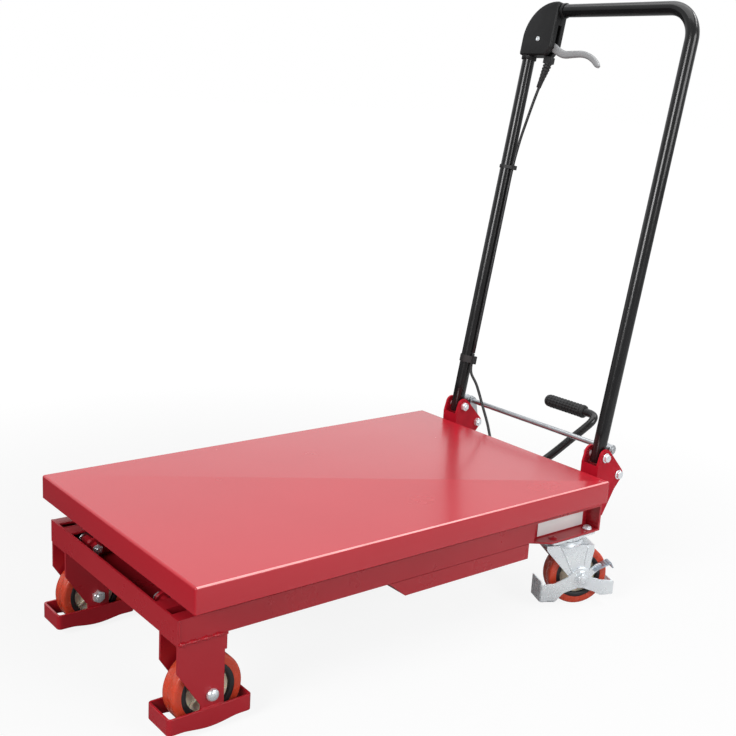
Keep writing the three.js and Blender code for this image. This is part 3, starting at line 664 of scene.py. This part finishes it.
for side, s in SIDES:
    guard(side, s)
    c = W(-322, s * 164, 50)
    wheel(f"front_wheel_{side}", c, Y, f"front_wheel_{side}", (f"front_tyre_{side}", f"front_wheel_core_{side}"))
    # axle: domed cap outside, nut inside, spacers against the hub
    bm = bmesh.new()
    bar(bm, W(-322, s * 134, 50), W(-322, s * 190, 50), 6, 32)
    lathe(bm, [(0, 24.3), (7.6, 24.3), (8.4, 24.8), (8.6, 26.0), (8.2, 28.0), (7.0, 29.8), (5.0, 31.0), (2.4, 31.6), (0, 31.7)], c, Y * s, 40)
    hexagon(bm, W(-322, s * 139.6, 50), Y * -s, 9.5, 6.6, 0, 5)
    for a, b in ((182.6, 183.8), (144.2, 145.4)):
        lathe(bm, [(6.2, a - 164), (11, a - 164), (11, b - 164), (6.2, b - 164)], c, Y * s, 36)
    put(f"front_axle_cap_{side}", bm, "base", ZINC, f"front_axle_{side}", smooth=40)


# --------------------------------------------------------------------- casters
PSI = math.radians(-24.5)


def caster(side, s):
    R = Matrix.Rotation(PSI, 4, "Z")
    R.translation = W(345, s * 166, 0)

    def C(x, y, z):
        return R @ Vector((x * MM, y * MM, z * MM))

    ux, uy = (R.to_3x3() @ X), (R.to_3x3() @ Y)
    wx, wz = 24.0, 50.0
    body, plate = f"caster_{side}", W(345, s * 166, 0)
    wheel(f"caster_wheel_{side}", C(wx, 0, wz), uy, f"caster_wheel_{side}", (f"caster_tyre_{side}", f"caster_wheel_core_{side}"))

    # mounting plate, upper race and king pin, clamped by two flange bolts
    bm = bmesh.new()
    prism(bm, fillet([(-50, -23), (50, -23), (50, 23), (-50, 23)], 5), plate, X, Y, 114.5, 117.7)
    lathe(bm, [(0, 114.6), (27, 114.6), (26.6, 113.4), (24.6, 112.0), (23.6, 110.2), (23.9, 108.2), (23.0, 107.0), (17, 106.9), (0, 106.9)], plate, Z, 56)
    lathe(bm, [(0, 98.8), (5.2, 98.8), (6, 99.6), (6, 107), (0, 107)], plate, Z, 32)
    hexagon(bm, plate + Z * (102.6 * MM), -Z, 9.8, 3.2)
    for x in (304, 386):
        p = W(x, s * 177, 0)
        zt = 126 if x > 345 else 121.5
        lathe(bm, [(0, 114.8), (3.9, 114.8), (3.9, zt), (0, zt)], p, Z, 24)
        if x > 345:
            hexagon(bm, p + Z * (121.2 * MM), Z, 6.4, 4.6, 8.0)
    put(f"caster_head_{side}", bm, "base", ZINC, f"caster_plate_{side}", smooth=36)
    bm = bmesh.new()                                  # the front bolt is a low button head, painted over
    lathe(bm, [(0, 121.1), (7.4, 121.1), (7.4, 121.7), (6.2, 122.9), (3.6, 123.7), (2.2, 123.8), (2.0, 122.8), (0, 122.8)], W(304, s * 177, 0), Z, 32)
    put(f"caster_button_{side}", bm, "base", RED, smooth=40)

    # pressed fork: crown with its race, two cheeks with turned edges
    bm = bmesh.new()
    lathe(bm, [(6.4, 103.2), (20, 103.2), (29.6, 103.2), (31, 104.2), (30.6, 106.0), (28.2, 106.9), (27.0, 108.6), (27.6, 111.2), (26.8, 112.2), (25.9, 111.2), (25.0, 107.2), (23.0, 106.4), (6.4, 106.4)], C(0, 0, 0), Z, 64)
    crown = fillet([(-39, -25), (42, -25), (42, 25), (-39, 25)], 9)
    prism(bm, crown, C(0, 0, 0), ux, uy, 103.2, 106.2)
    cheek = fillet([(-39, 106.2), (-39, 99), (wx - 14, 45), (wx - 11, 36), (wx + 9, 36), (wx + 13.5, 47), (40.5, 80), (43.5, 96), (42, 106.2)], [0, 6, 8, 9, 9, 8, 14, 7, 0])
    for n0, n1 in ((-24.5, -21.7), (21.7, 24.5)):
        prism(bm, cheek, C(0, 0, 0), ux, Z, -n0, -n1)
    # crease ribs pressed in each cheek
    for f in (-1, 1):
        ridge = spline([C(-14, f * 24.3, 103), C(-4, f * 24.3, 84), C(7, f * 24.3, 62), C(12, f * 24.2, 52)], 24)
        tube(bm, ridge, [1.5] * 20 + [1.2, 0.9, 0.7, 0.5, 0.3], 10, cap=0)
        ridge = spline([C(32, f * 24.3, 102), C(30, f * 24.3, 84), C(28, f * 24.2, 66)], 18)
        tube(bm, ridge, [1.4] * 14 + [1.1, 0.8, 0.6, 0.5, 0.3], 10, cap=0)
    put(f"caster_yoke_{side}", bm, body, ZINC, f"caster_fork_{side}", smooth=36, bevel=0.5, weld_=False)

    # axle bolt
    bm = bmesh.new()
    bar(bm, C(wx, -31, wz), C(wx, 29, wz), 5.9, 32)
    hexagon(bm, C(wx, -27.7, wz), -uy, 9.0, 5.6, 10.2, 4.4)
    hexagon(bm, C(wx, 24.7, wz), uy, 9.0, 5.2, 10.2)
    for f in (-1, 1):
        lathe(bm, [(6.2, 18.2), (9.6, 18.2), (9.6, 21.4), (6.2, 21.4)], C(wx, 0, wz), uy * f, 32)
    put(f"caster_bolt_{side}", bm, body, ZINC, f"caster_axle_{side}", smooth=36)

    # brake rocker: star-shaped side plate with a hub, two wheel guards and the toe pedal
    def P(pts):
        return [(wx + a, wz + b) for a, b in pts]
    bm = bmesh.new()
    lathe(bm, [(6.4, 24.9), (17.4, 24.9), (18, 25.4), (18, 26.8), (17.2, 27.3), (12.4, 27.4), (11.6, 28.0), (6.4, 28.0)], C(wx, 0, wz), -uy, 48)
    arms = [
        fillet(P([(-9, 14), (-24, 2), (-46, -8), (-69, -9), (-69, -38), (-42, -40), (-28, -25), (-4, -17.5), (6, 4)]), [3, 6, 6, 3, 4, 5, 9, 5, 3]),
        fillet(P([(8, 15), (20, 0), (36, -5), (58.5, -8), (58.5, -31), (36, -32), (24, -25), (4, -17.5), (-4, 2)]), [3, 6, 5, 3, 4, 5, 8, 5, 3]),
        fillet(P([(-4, 17.0), (12, 13.0), (22, 22), (31, 24), (38, 18.5), (24, 8), (12, -4), (-2, 2)]), [4, 3, 3, 4, 3, 4, 3, 3]),
    ]
    for i, a in enumerate(arms):
        prism(bm, a, C(0, 0, 0), ux, Z, 25.0 + i * 0.12, 27.1 + i * 0.12)
    # guards fold in over the tread
    for pts, lo, hi in ((P([(-66.4, -38), (-68.9, -38), (-68.9, -4), (-66.4, -4)]), -9, 27.1), (P([(56.0, -31), (58.5, -31), (58.5, -9), (56.0, -9)]), -9, 27.1)):
        prism(bm, pts, C(0, 0, 0), ux, Z, lo, hi)
    for a, b in ((-41.5, -66.5), (36, 56)):
        z = wz - (39.0 if a < 0 else 31.6)
        m = R @ Matrix.Translation(Vector(((wx) * MM, 0, z * MM)))
        block(bm, (min(a, b) * MM, -27.1 * MM, 0), (max(a, b) * MM, -17 * MM, 2.2 * MM), m)
    put(f"caster_brake_rocker_{side}", bm, f"brake_{side}", ZINC, f"caster_brake_{side}", smooth=34, bevel=0.45, weld_=False)
    bm = bmesh.new()
    t = Vector((28.5, 12.7)).normalized()
    nrm = Vector((-t.y, t.x))
    c0 = Vector((wx + 19.5, wz + 12.5))
    ped = [c0, c0 + t * 31.2, c0 + t * 31.2 + nrm * 2.4, c0 + nrm * 2.4]
    prism(bm, [(p.x, p.y) for p in ped], C(0, 0, 0), ux, Z, 17.0, 34.0)
    for k in range(6):
        a = c0 + t * (4.5 + 4.4 * k) + nrm * 2.2
        q = [a, a + t * 2.0, a + t * 2.0 + nrm * 1.1, a + nrm * 1.1]
        prism(bm, [(p.x, p.y) for p in q], C(0, 0, 0), ux, Z, 17.8, 33.2)
    tip = c0 + t * 31.2
    q = [tip - t * 2.4, tip, tip - nrm * 8 + t * 0.8, tip - nrm * 8 - t * 1.6]
    prism(bm, [(p.x, p.y) for p in q], C(0, 0, 0), ux, Z, 17.0, 34.0)
    # the toe pedal gets the darker zinc: painted shade
    put(f"caster_brake_toe_{side}", bm, f"brake_{side}", ZINC_PAINTED_SHADE, smooth=34, bevel=0.4, weld_=False)


for side, s in SIDES:
    caster(side, s)


# ---------------------------------------------------------------------- handle
def handle_line():
    c, top, R = 118.0, 665.0, 50.0
    right = [(168, v) for v in (-12, 40, 200, 400, 560, 640)] + arc(c, top, R, 0, 90, 18)
    left = [(-u, v) for u, v in reversed(right)]
    return [hp(u, v) for u, v in right + [(60, 715), (0, 715), (-60, 715)] + left]


bm = bmesh.new()
tube(bm, handle_line(), 11, 40, cap=1.0)
put("handle_loop", bm, "handle", BLACK, "handle_tube", smooth=50)

# lever housing round the right-hand bend: two shells with a parting line, lever slot and screw
def housing():
    c, top = 118.0, 665.0
    out = fillet([(181.3, 636.2)] + arc(c, top, 63.3, 2, 88, 16) + [(110.2, 728.3), (110.2, 651), (121.5, 636.2)], [5] + [0] * 17 + [4, 5, 5], 5)
    bm = bmesh.new()
    prism(bm, out, HO, HU, HV, -14, 14)
    bmesh.ops.recalc_face_normals(bm, faces=bm.faces)
    rim = [e for e in bm.edges if abs(abs((e.verts[0].co - e.verts[1].co).normalized().dot(HN))) < 0.1]
    bmesh.ops.bevel(bm, geom=rim, offset=3.2 * MM, segments=5, profile=0.5, affect="EDGES")
    o = loose("housing", bm)
    k = bmesh.new()
    prism(k, [(98, 628), (150, 643), (154, 650), (154, 684), (148, 690), (98, 690)], HO, HU, HV, -4.3, 4.3)
    o = boolean(o, loose("slot", k))
    k = bmesh.new()
    prism(k, [(90, 620), (200, 620), (200, 740), (90, 740)], HO, HU, HV, -0.35, 0.35)
    keep = bmesh.new()
    prism(keep, fillet([(180.1, 637.4)] + arc(c, top, 62.1, 2, 88, 16) + [(111.4, 727.1), (111.4, 652), (122, 637.4)], [4] + [0] * 17 + [3, 4, 4], 5), HO, HU, HV, -2, 2)
    g = boolean(loose("groove", k), loose("keep", keep))
    o = boolean(o, g)
    # shallow sink round the screw, both faces
    k = bmesh.new()
    lathe(k, [(0, 13.0), (5.2, 13.0), (5.6, 15), (0, 15)], hp(143, 664), HN, 32)
    o = boolean(o, loose("sink", k))
    k = bmesh.new()
    lathe(k, [(0, 13.0), (5.2, 13.0), (5.6, 15), (0, 15)], hp(143, 664), -HN, 32)
    o = boolean(o, loose("sink", k))
    finish_mesh(o, HOUSING, 34)
    o.name = "lever_housing_shells"
    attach(o, "handle")
    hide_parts("lever_housing")
    # clamp collars where the tube enters, at both ends
    bm = bmesh.new()
    lathe(bm, [(11.2, 630), (12.6, 630), (13.2, 630.8), (13.2, 637), (11.2, 637)], hp(168, 0), HV, 40)
    lathe(bm, [(11.2, 8.5), (13.0, 8.5), (13.0, 4.8), (12.4, 4.2), (11.2, 4.2)], hp(98, 715), HU, 40)
    put("lever_housing_collars", bm, "handle", HOUSING, smooth=40)


housing()


def lever():
    ctl = [(143, 664, 8.0), (128, 658.5, 7.6), (114, 652, 7.2), (99, 644.5, 6.9), (86, 640.5, 6.5), (68, 641, 6.0), (47, 641.5, 5.7), (32, 638.5, 5.4), (18, 631.5, 5.1), (5.5, 621.0, 4.9)]
    line = spline([V(a, b, 0) for a, b, _ in ctl], 48)
    bm = bmesh.new()
    rows = []
    n = len(line)
    for i, p in enumerate(line):
        f = i / (n - 1) * (len(ctl) - 1)
        k = min(int(f), len(ctl) - 2)
        w = ctl[k][2] * (1 - (f - k)) + ctl[k + 1][2] * (f - k)
        if i > n - 5:
            w *= (1.0, 0.99, 0.95, 0.84, 0.55)[i - (n - 5)]
        t = (line[min(i + 1, n - 1)] - line[max(i - 1, 0)]).normalized()
        nr = V(-t.y, t.x, 0)
        row = []
        for a in range(16):                      # oval section, flatter faces
            th = 2 * math.pi * a / 16
            ca, sa = math.cos(th), math.sin(th)
            q = p + nr * (w * math.copysign(abs(ca) ** 0.7, ca))
            row.append(bm.verts.new(hp(q.x, q.y, 3.45 * math.copysign(abs(sa) ** 0.5, sa))))
        rows.append(row)
    for a, b in zip(rows, rows[1:]):
        for k in range(16):
            j = (k + 1) % 16
            bm.faces.new((a[k], a[j], b[j], b[k]))
    bm.faces.new(rows[0])
    bm.faces.new(list(reversed(rows[-1])))
    lathe(bm, rounded(8.6, -3.8, 3.8, 0.5), hp(143, 664), HN, 40)
    put("lever_blade", bm, "release", LEVER, "release_lever", smooth=45, weld_=False)
    # pin with a screw head on the near face and a clip on the other
    bm = bmesh.new()
    bar(bm, hp(143, 664, -14), hp(143, 664, 14), 3, 24)
    for f in (-1, 1):
        lathe(bm, [(0, 13.0), (4.2, 13.0), (4.4, 13.6), (4.0, 14.6), (2.6, 15.0), (2.2, 14.2), (0, 14.2)], hp(143, 664), HN * f, 32)
    put("lever_pin", bm, "release", ZINC, smooth=40)


lever()

# cable adjuster, boot and upper cable
bm = bmesh.new()
prism(bm, fillet([(112, 624), (127, 624), (127, 635.5), (112, 635.5)], 1.6, 3), HO, HU, HV, -6.5, 6.5)
ax = (hp(129.8, 582) - hp(120.6, 618)).normalized()
o0 = hp(119.9, 625)
lathe(bm, [(0, -1), (6.44, -1), (6.9, 0), (6.9, 2.0), (5.75, 2.4), (5.75, 3.4), (7.13, 3.8), (7.13, 7.4), (5.75, 7.8), (5.75, 8.6), (6.9, 9.0), (6.79, 12.6), (5.63, 13.0), (5.63, 13.8), (6.44, 14.2), (6.21, 18), (5.29, 18.4), (5.29, 19.2), (5.86, 19.6), (5.63, 24), (4.71, 24.4), (4.71, 25.2), (5.29, 25.6), (4.94, 31), (4.25, 31.3), (4.25, 32), (4.6, 32.3), (4.02, 43.4), (3.45, 44.2), (0, 44.4)], o0, ax, 28)
put("cable_boot_ribbed", bm, "handle", RUBBER, "cable_boot", smooth=38, bevel=0.25, weld_=False)
upper = [(128.9, 586.5), (130.1, 580.5), (134.5, 562), (141, 530), (148, 492), (152, 455), (153.2, 425)]
line = spline([hp(*p) for p in upper], 40) + [hp(153.2, v) for v in (400, 360, 300, 240, 180, 130, 100)]
bm = bmesh.new()
tube(bm, line, 2.5, 16, cap=0.3)
put("cable_run", bm, "handle", CABLE, "cable_upper", smooth=50)


def band(name, v, h, node=None):
    """strap round the tube and the cable beside it, with its locking head"""
    bm = bmesh.new()
    N = HU.cross(-HN)
    out = link(168, 0, 12.6, 153.2, 0, 4.3, 16)
    inn = link(168, 0, 11.1, 153.2, 0, 2.9, 16)
    o = hp(0, v)
    rows = []
    for (a, b), (c_, d) in zip(out, inn):
        rows.append([bm.verts.new(o + HU * (p * MM) - HN * (q * MM) + HV * (z * MM)) for p, q, z in ((a, b, 0), (a, b, h), (c_, d, h), (c_, d, 0))])
    n = len(rows)
    for i in range(n):
        a, b = rows[i], rows[(i + 1) % n]
        for k in range(4):
            bm.faces.new((a[k], b[k], b[(k + 1) % 4], a[(k + 1) % 4]))
    m = Matrix((HU, -HN, HV)).transposed().to_4x4()
    m.translation = o
    block(bm, (0.1465, -0.0046, -0.0008), (0.1505, 0.0046, (h + 0.8) * MM), m)
    put(name, bm, "handle", RUBBER, node or (), smooth=50, bevel=0.25, weld_=False)


band("cable_strap_low", 81, 13, "cable_clip")
band("cable_strap_high", 437, 6)

# lower cable: held by the handle at its top, by the frame at its bottom
low = [hp(153.2, 99), hp(153.2, 88), hp(153.0, 78), hp(149.3, 64), W(413, 131, 286), W(408, 104.5, 250), W(400, 80, 222), W(388, 58, 194), W(372, 48, 166), W(356, 45, 152), W(343, 44.5, 147)]
bm = bmesh.new()
tube(bm, spline(low, 110), 2.48, 16, cap=0.3)
cable = put("cable_lead", bm, None, CABLE, smooth=50)
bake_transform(cable)
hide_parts("cable_lower")
bm = bmesh.new()
lathe(bm, [(2.5, 0), (4.2, 0), (4.6, 0.8), (4.6, 9), (3.9, 10), (3.0, 13), (2.5, 13)], W(341.5, 44.5, 146), V(0.75, 0.02, 0.33), 20)
put("cable_end_ferrule", bm, "base", ZINC, smooth=40)

# ------------------------------------------------------ bracket bolts and bail
for side, s in SIDES:
    for nm, x, z, cad in (("upper", 404, 241, f"handle_bolt_{side}"), ("lower", 440, 207, f"bail_bolt_{side}")):
        bm = bmesh.new()
        bar(bm, W(x, s * 145, z), W(x, s * 188, z), 4.9, 24)
        hexagon(bm, W(x, s * 185.2, z), Y * s, 6.9, 5.4, 8.0)
        hexagon(bm, W(x, s * 149.8, z), Y * -s, 7.8, 6.0, 0, 4.2)
        put(f"bracket_bolt_{nm}_{side}", bm, "base", ZINC, cad, smooth=36)
bm = bmesh.new()
bar(bm, W(432, -176.5, 247), W(432, 176.5, 247), 4.5, 32, 1.0)
for s in (-1, 1):
    lathe(bm, [(4.4, 160), (7.9, 160), (8.5, 160.7), (8.5, 163.5), (7.8, 164), (7.8, 171.2), (8.5, 171.8), (8.5, 174.4), (7.9, 175), (4.4, 175)], W(432, 0, 247), Y * s, 40)
    prism(bm, link(440, 207, 9, 432, 247, 7.5), W(0, 0, 0), X, Z, -s * 155, -s * 158.5)
put("bail_rod", bm, "bail", ZINC_ROD, "lock_bail", smooth=36, bevel=0.25, weld_=False)

# --------------------------------------------------------------- foot pedal
path = spline([W(*p) for p in ((352, 0, 128), (363, -0.6, 137), (374, -6, 146), (395, -19.5, 163), (438, -40, 198), (470, -56.5, 229), (488, -66, 246.5), (500, -70.5, 258), (507.5, -68, 264.5), (510, -59, 267), (510, -46, 267.2), (510, -20, 267.2), (510, 30, 267.2))], 130)
bm = bmesh.new()
tube(bm, path, 7, 28, cap=0.8)
lathe(bm, rounded(9.5, -8, 8, 0.8), W(352, 0, 128), Y, 36)
lathe(bm, rounded(5, -15, 15, 0.5), W(352, 0, 128), Y, 24)
put("pedal_bar", bm, "pedal", BLACK, "pedal_arm", smooth=50, weld_=False)


def flutes(r, a, t):
    if 8.6 < r and -36 < a < 38:
        return r * (1 - 0.06 * (0.5 + 0.5 * math.cos(t * 14)))
    return r


prof = [(0, -45.2), (7.6, -45.2), (9.4, -44.6), (11.2, -43.4), (11.7, -41.5), (11.7, -39.0), (10.5, -37.6), (10.3, -36.4)]
a = -35.4
while a < 33:
    prof += [(11.1, a), (11.5, a + 1.2), (11.5, a + 4.4), (11.1, a + 5.6), (10.3, a + 6.0), (10.3, a + 6.8)]
    a += 7.2
prof += [(11.2, 36.6), (10.8, 39.5), (9.7, 42.2), (7.8, 44.2), (4.8, 45.2), (0, 45.4)]
bm = bmesh.new()
lathe(bm, prof, W(510, 0, 267.2), Y, 84, flutes)
put("pedal_sleeve", bm, "pedal", RUBBER, "pedal_grip", smooth=34)

# ------------------------------------------------------- scissor hardware
bm = bmesh.new()
bar(bm, W(-345, -148.4, 203.5), W(-345, 148.4, 203.5), 6, 36, 0.8)
for s in (-1, 1):
    lathe(bm, [(6.1, 146.3), (8.4, 146.3), (8.4, 147.6), (6.1, 147.6)], W(-345, 0, 203.5), Y * s, 32)
    lathe(bm, [(6.1, 118.4), (9, 118.4), (9, 125.6), (6.1, 125.6)], W(-345, 0, 203.5), Y * s, 32)
# the shaft gets the darkened steel: painted shade between the arms
put("upper_roller_shaft_turned", bm, "outer_arms", STEEL_DIRT_AND_PAINTED_SHADE, "upper_roller_shaft", smooth=40)
for side, s in SIDES:                                 # domed nuts on the welded studs, inside and outside
    bm = bmesh.new()
    hexagon(bm, W(-345, s * 91.6, 146.5), Y * -s, 7.6, 5.0, 0, 4.4)
    lathe(bm, [(0, 148.2), (5.0, 148.2), (5.0, 148.6), (0, 148.7)], W(-345, 0, 146.5), Y * s, 24)
    put(f"roller_stud_nut_{side}", bm, "inner_arms", ZINC, smooth=38)
for side, s in SIDES:
    for z, nm in ((146.5, "lower"), (203.5, "upper")):
        bm = bmesh.new()
        lathe(bm, [(6.4, 126), (12.2, 126), (13, 126.8), (13, 145.2), (12.2, 146), (6.4, 146)], W(-345, 0, z), Y * s, 56)
        put(f"{nm}_track_roller_{side}", bm, f"{nm}_roller_{side}", STEEL, f"{nm}_roller_{side}", smooth=40)
    bm = bmesh.new()
    bar(bm, W(-10, s * 94, 175), W(-10, s * 121.8, 175), 7, 32, 0.8)
    lathe(bm, rounded(11, 118.3, 122, 0.8), W(-10, 0, 175), Y * s, 40)
    hexagon(bm, W(-10, s * 97.7, 175), Y * -s, 10.4, 5.0)
    put(f"centre_pivot_{side}", bm, "outer_arms", ZINC, f"centre_pin_{side}", smooth=36)
for z, cad, body in ((146.5, "base_pivot_shaft", "base"), (203.5, "table_pivot_shaft", "table")):
    bm = bmesh.new()
    bar(bm, W(325, -156, z), W(325, 156, z), 5.95, 36, 0.8)
    for s in (-1, 1):
        lathe(bm, [(6.0, 152.6), (9.0, 152.6), (9.0, 153.8), (6.0, 153.8)], W(325, 0, z), Y * s, 32)
        lathe(bm, [(6.0, 119), (8.6, 119), (8.6, 120.4), (6.0, 120.4)], W(325, 0, z), Y * s, 32)
    put(cad + "_turned", bm, body, ZINC, cad, smooth=40)

# ---------------------------------------------------------------- hydraulics
C0, Q0 = W(150, 0, 124), W(-60.5, 0, 192.8)
D = (Q0 - C0).normalized()
LEN = (Q0 - C0).length / MM
bm = bmesh.new()
lathe(bm, [(0, 3), (8.2, 3), (8.2, 14), (15.8, 14), (17.0, 15.2), (17.0, 24), (16.2, 24.6), (16.2, 26), (17, 26.6), (17, 172), (17.8, 172.6), (19, 173.6), (19, 186.6), (18, 188), (9.2, 188), (8.6, 186), (8.6, 150), (0, 150)], C0, D, 56)
lathe(bm, rounded(9.5, -9, 9, 0.6), C0, Y, 36)
lathe(bm, rounded(5, -14, 14, 0.4), C0, Y, 28)
put("cylinder_tube", bm, "cylinder", BLACK, "cylinder_barrel", smooth=36, weld_=False)
bm = bmesh.new()
lathe(bm, [(8.7, 186.4), (12.4, 186.4), (12.4, 188.4), (11.6, 189.0), (8.7, 189.0)], C0, D, 40)
put("cylinder_wiper", bm, "cylinder", RUBBER, smooth=40)
bm = bmesh.new()
lathe(bm, [(0, 104), (7.4, 104), (8, 104.6), (8, LEN - 13.5), (0, LEN - 13.5)], C0, D, 48)
put("ram_rod", bm, "ram", CHROME, "piston_rod", smooth=40)
bm = bmesh.new()
lathe(bm, [(11.7, -8.6), (12.2, -9), (15.4, -9), (16, -8.4), (16, 8.4), (15.4, 9), (12.2, 9), (11.7, 8.6)], Q0, Y, 56)
put("ram_eye", bm, "ram", STEEL, smooth=40)

# pump details on the block: plunger gland, relief plug, filler cap, fixing screws
bm = bmesh.new()
lathe(bm, [(0, 0), (11, 0), (11, 6), (9.5, 7.5), (0, 7.5)], W(282, -12, 157.5), Z, 36)
hexagon(bm, W(268, 14, 157.5), Z, 7, 6, 8.5)
hexagon(bm, W(296, 14, 157.5), Z, 5.5, 5, 7)
for x in (257, 303):
    for y in (-27, 27):
        hexagon(bm, W(x, y, 157.6), Z, 4.6, 3.6)
for y in (-20, 0, 20):
    hexagon(bm, W(309.6, y, 148), X, 5.0, 3.2)
put("pump_fittings", bm, "base", ZINC, smooth=36)

# --------------------------------------------------------------- weld beads
for side, s in SIDES:
    y = s * 188.2
    seam(f"weld_fork_rail_{side}", [(-370, y, 129.9), (-306, y, 129.9)], "base", 2.3, 5.2, spread=0.7)
    seam(f"weld_fork_inner_{side}", [(-370, s * 139.9, 129.6), (-306, s * 139.9, 129.6)], "base", 1.4, 4.0)
    seam(f"weld_frame_corner_{side}", [(-369.2, s * 187.7, 131.5), (-369.2, s * 187.7, 161.5)], "base", 1.1, 2.6)
    seam(f"weld_guard_fork_outer_{side}", [(-337, s * 188.1, 33.6), (-305, s * 188.1, 33.6)], "base", 1.2, 3.0)
    seam(f"weld_channel_rail_{side}", [(248.9, s * 162.4, 134), (248.9, s * 162.4, 160)], "base", 1.4, 2.8)
    seam(f"weld_bracket_foot_{side}", [(390.4, s * 180.6, 163.2), (403.6, s * 180.6, 163.2)], "base", 1.3, 2.6)
    seam(f"weld_bracket_end_{side}", [(404.1, s * 185.0, 144), (404.1, s * 185.0, 162)], "base", 1.2, 2.6)
    seam(f"weld_bracket_web_{side}", [(389.9, s * 181.0, 166), (389.9, s * 181.0, 225)], "base", 1.1, 2.6)
    seam(f"weld_push_lug_{side}", [(-60.5 + 9, s * 98.3, 192.8), (-60.5, s * 98.3, 184), (-60.5 - 9, s * 98.3, 192.8)], "inner_arms", 1.2, 2.4)

# ---------------------------------------------------------------- studio
def area(name, loc, target, size, power, size_y=None, color=(1, 1, 1)):
    d = bpy.data.lights.new(name, "AREA")
    d.energy, d.size, d.color = power, size, color
    if size_y:
        d.shape, d.size_y = "RECTANGLE", size_y
    o = bpy.data.objects.new(name, d)
    scene.collection.objects.link(o)
    o.location = loc
    o.rotation_euler = (Vector(target) - Vector(loc)).to_track_quat("-Z", "Y").to_euler()
    return o


world = bpy.data.worlds.new("studio")
scene.world = world
world.use_nodes = True
wt = world.node_tree
bg = wt.nodes["Background"]
bg.inputs[0].default_value = (0.975, 0.985, 1, 1)
wc = wt.nodes.new("ShaderNodeTexCoord")               # lighter towards the back wall, dimmer behind the camera
dot = wt.nodes.new("ShaderNodeVectorMath")
dot.operation = "DOT_PRODUCT"
dot.inputs[1].default_value = (0.62, 0.76, 0.20)
ramp = wt.nodes.new("ShaderNodeMapRange")
ramp.interpolation_type = "SMOOTHSTEP"
for k, v in (("From Min", -0.3), ("From Max", 0.9), ("To Min", 0.38), ("To Max", 0.98)):
    ramp.inputs[k].default_value = v
wt.links.new(wc.outputs["Generated"], dot.inputs[0])
wt.links.new(dot.outputs["Value"], ramp.inputs["Value"])
wt.links.new(ramp.outputs[0], bg.inputs[1])
seen = wt.nodes.new("ShaderNodeBackground")          # the studio's white backdrop
seen.inputs[1].default_value = 1.0
seen.inputs[0].default_value = (1, 1, 1, 1)
pick = wt.nodes.new("ShaderNodeMixShader")
path_ = wt.nodes.new("ShaderNodeLightPath")
wt.links.new(path_.outputs["Is Camera Ray"], pick.inputs[0])
wt.links.new(bg.outputs[0], pick.inputs[1])
wt.links.new(seen.outputs[0], pick.inputs[2])
wt.links.new(pick.outputs[0], wt.nodes["World Output"].inputs[0])
area("top_light", (0.1, 0.1, 2.7), (0, 0, 0.2), 2.6, 33, 2.2)
area("front_light", (-2.6, -0.7, 1.5), (-0.3, 0, 0.15), 1.1, 46, 1.1)
area("side_light", (0.5, -3.0, 1.5), (0.1, 0, 0.15), 1.6, 34, 1.2)
area("edge_light", (1.36, -0.80, 2.0), (0.0, -0.2, 0.2), 1.3, 9, 0.25)


def floor(name, z, material, **seen_by):
    bm = bmesh.new()
    S = 40.0
    bm.faces.new([bm.verts.new((x, y, z)) for x, y in ((-S, -S), (S, -S), (S, S), (-S, S))])
    me = bpy.data.meshes.new(name)
    bm.to_mesh(me)
    bm.free()
    o = bpy.data.objects.new(name, me)
    scene.collection.objects.link(o)
    me.materials.append(material)
    for k, v in seen_by.items():
        setattr(o, k, v)


def glow(name, share):
    """pale backlit paper: mostly its own even light, so that shadows stay faint"""
    m = mat(name, (0.93, 0.93, 0.93), 0.6, vary=0.005, vary_scale=2, rough_vary=0.03, spec=0.0)
    nt = m.node_tree
    out = next(n for n in nt.nodes if n.type == "OUTPUT_MATERIAL")
    p = next(n for n in nt.nodes if n.type == "BSDF_PRINCIPLED")
    tc = nt.nodes.new("ShaderNodeTexCoord")
    ln = nt.nodes.new("ShaderNodeVectorMath")
    ln.operation = "LENGTH"
    r = nt.nodes.new("ShaderNodeMapRange")
    r.interpolation_type = "SMOOTHSTEP"
    for k, v in (("From Min", 0.55), ("From Max", 1.7), ("To Min", 1 - share), ("To Max", 1.0)):
        r.inputs[k].default_value = v
    e = nt.nodes.new("ShaderNodeEmission")
    e.inputs[0].default_value = (1, 1, 1, 1)
    e.inputs[1].default_value = 1.03
    mx = nt.nodes.new("ShaderNodeMixShader")
    nt.links.new(tc.outputs["Object"], ln.inputs[0])
    nt.links.new(ln.outputs["Value"], r.inputs["Value"])
    nt.links.new(r.outputs[0], mx.inputs[0])
    nt.links.new(p.outputs[0], mx.inputs[1])
    nt.links.new(e.outputs[0], mx.inputs[2])
    nt.links.new(mx.outputs[0], out.inputs[0])
    return m


def bounce(name):
    """what the floor throws back at the object: dim on the -X side, pale on the -Y side"""
    m = mat(name, (0.5, 0.5, 0.5), 0.8, vary=0.01, vary_scale=2, spec=0.0)
    nt = m.node_tree
    p = next(n for n in nt.nodes if n.type == "BSDF_PRINCIPLED")
    tc = nt.nodes.new("ShaderNodeTexCoord")
    d = nt.nodes.new("ShaderNodeVectorMath")
    d.operation = "DOT_PRODUCT"
    d.inputs[1].default_value = (1, -1, 0)
    r = nt.nodes.new("ShaderNodeMapRange")
    r.interpolation_type = "SMOOTHSTEP"
    for k, v in (("From Min", -1.1), ("From Max", 0.9), ("To Min", 0.06), ("To Max", 0.50)):
        r.inputs[k].default_value = v
    nt.links.new(tc.outputs["Object"], d.inputs[0])
    nt.links.new(d.outputs["Value"], r.inputs["Value"])
    nt.links.new(r.outputs[0], p.inputs["Base Color"])
    return m


floor("floor", -0.0003, glow("pale_floor", 0.16), visible_diffuse=False, visible_glossy=False)
floor("floor_bounce", -0.0001, bounce("floor_return"), visible_camera=False, visible_shadow=False)
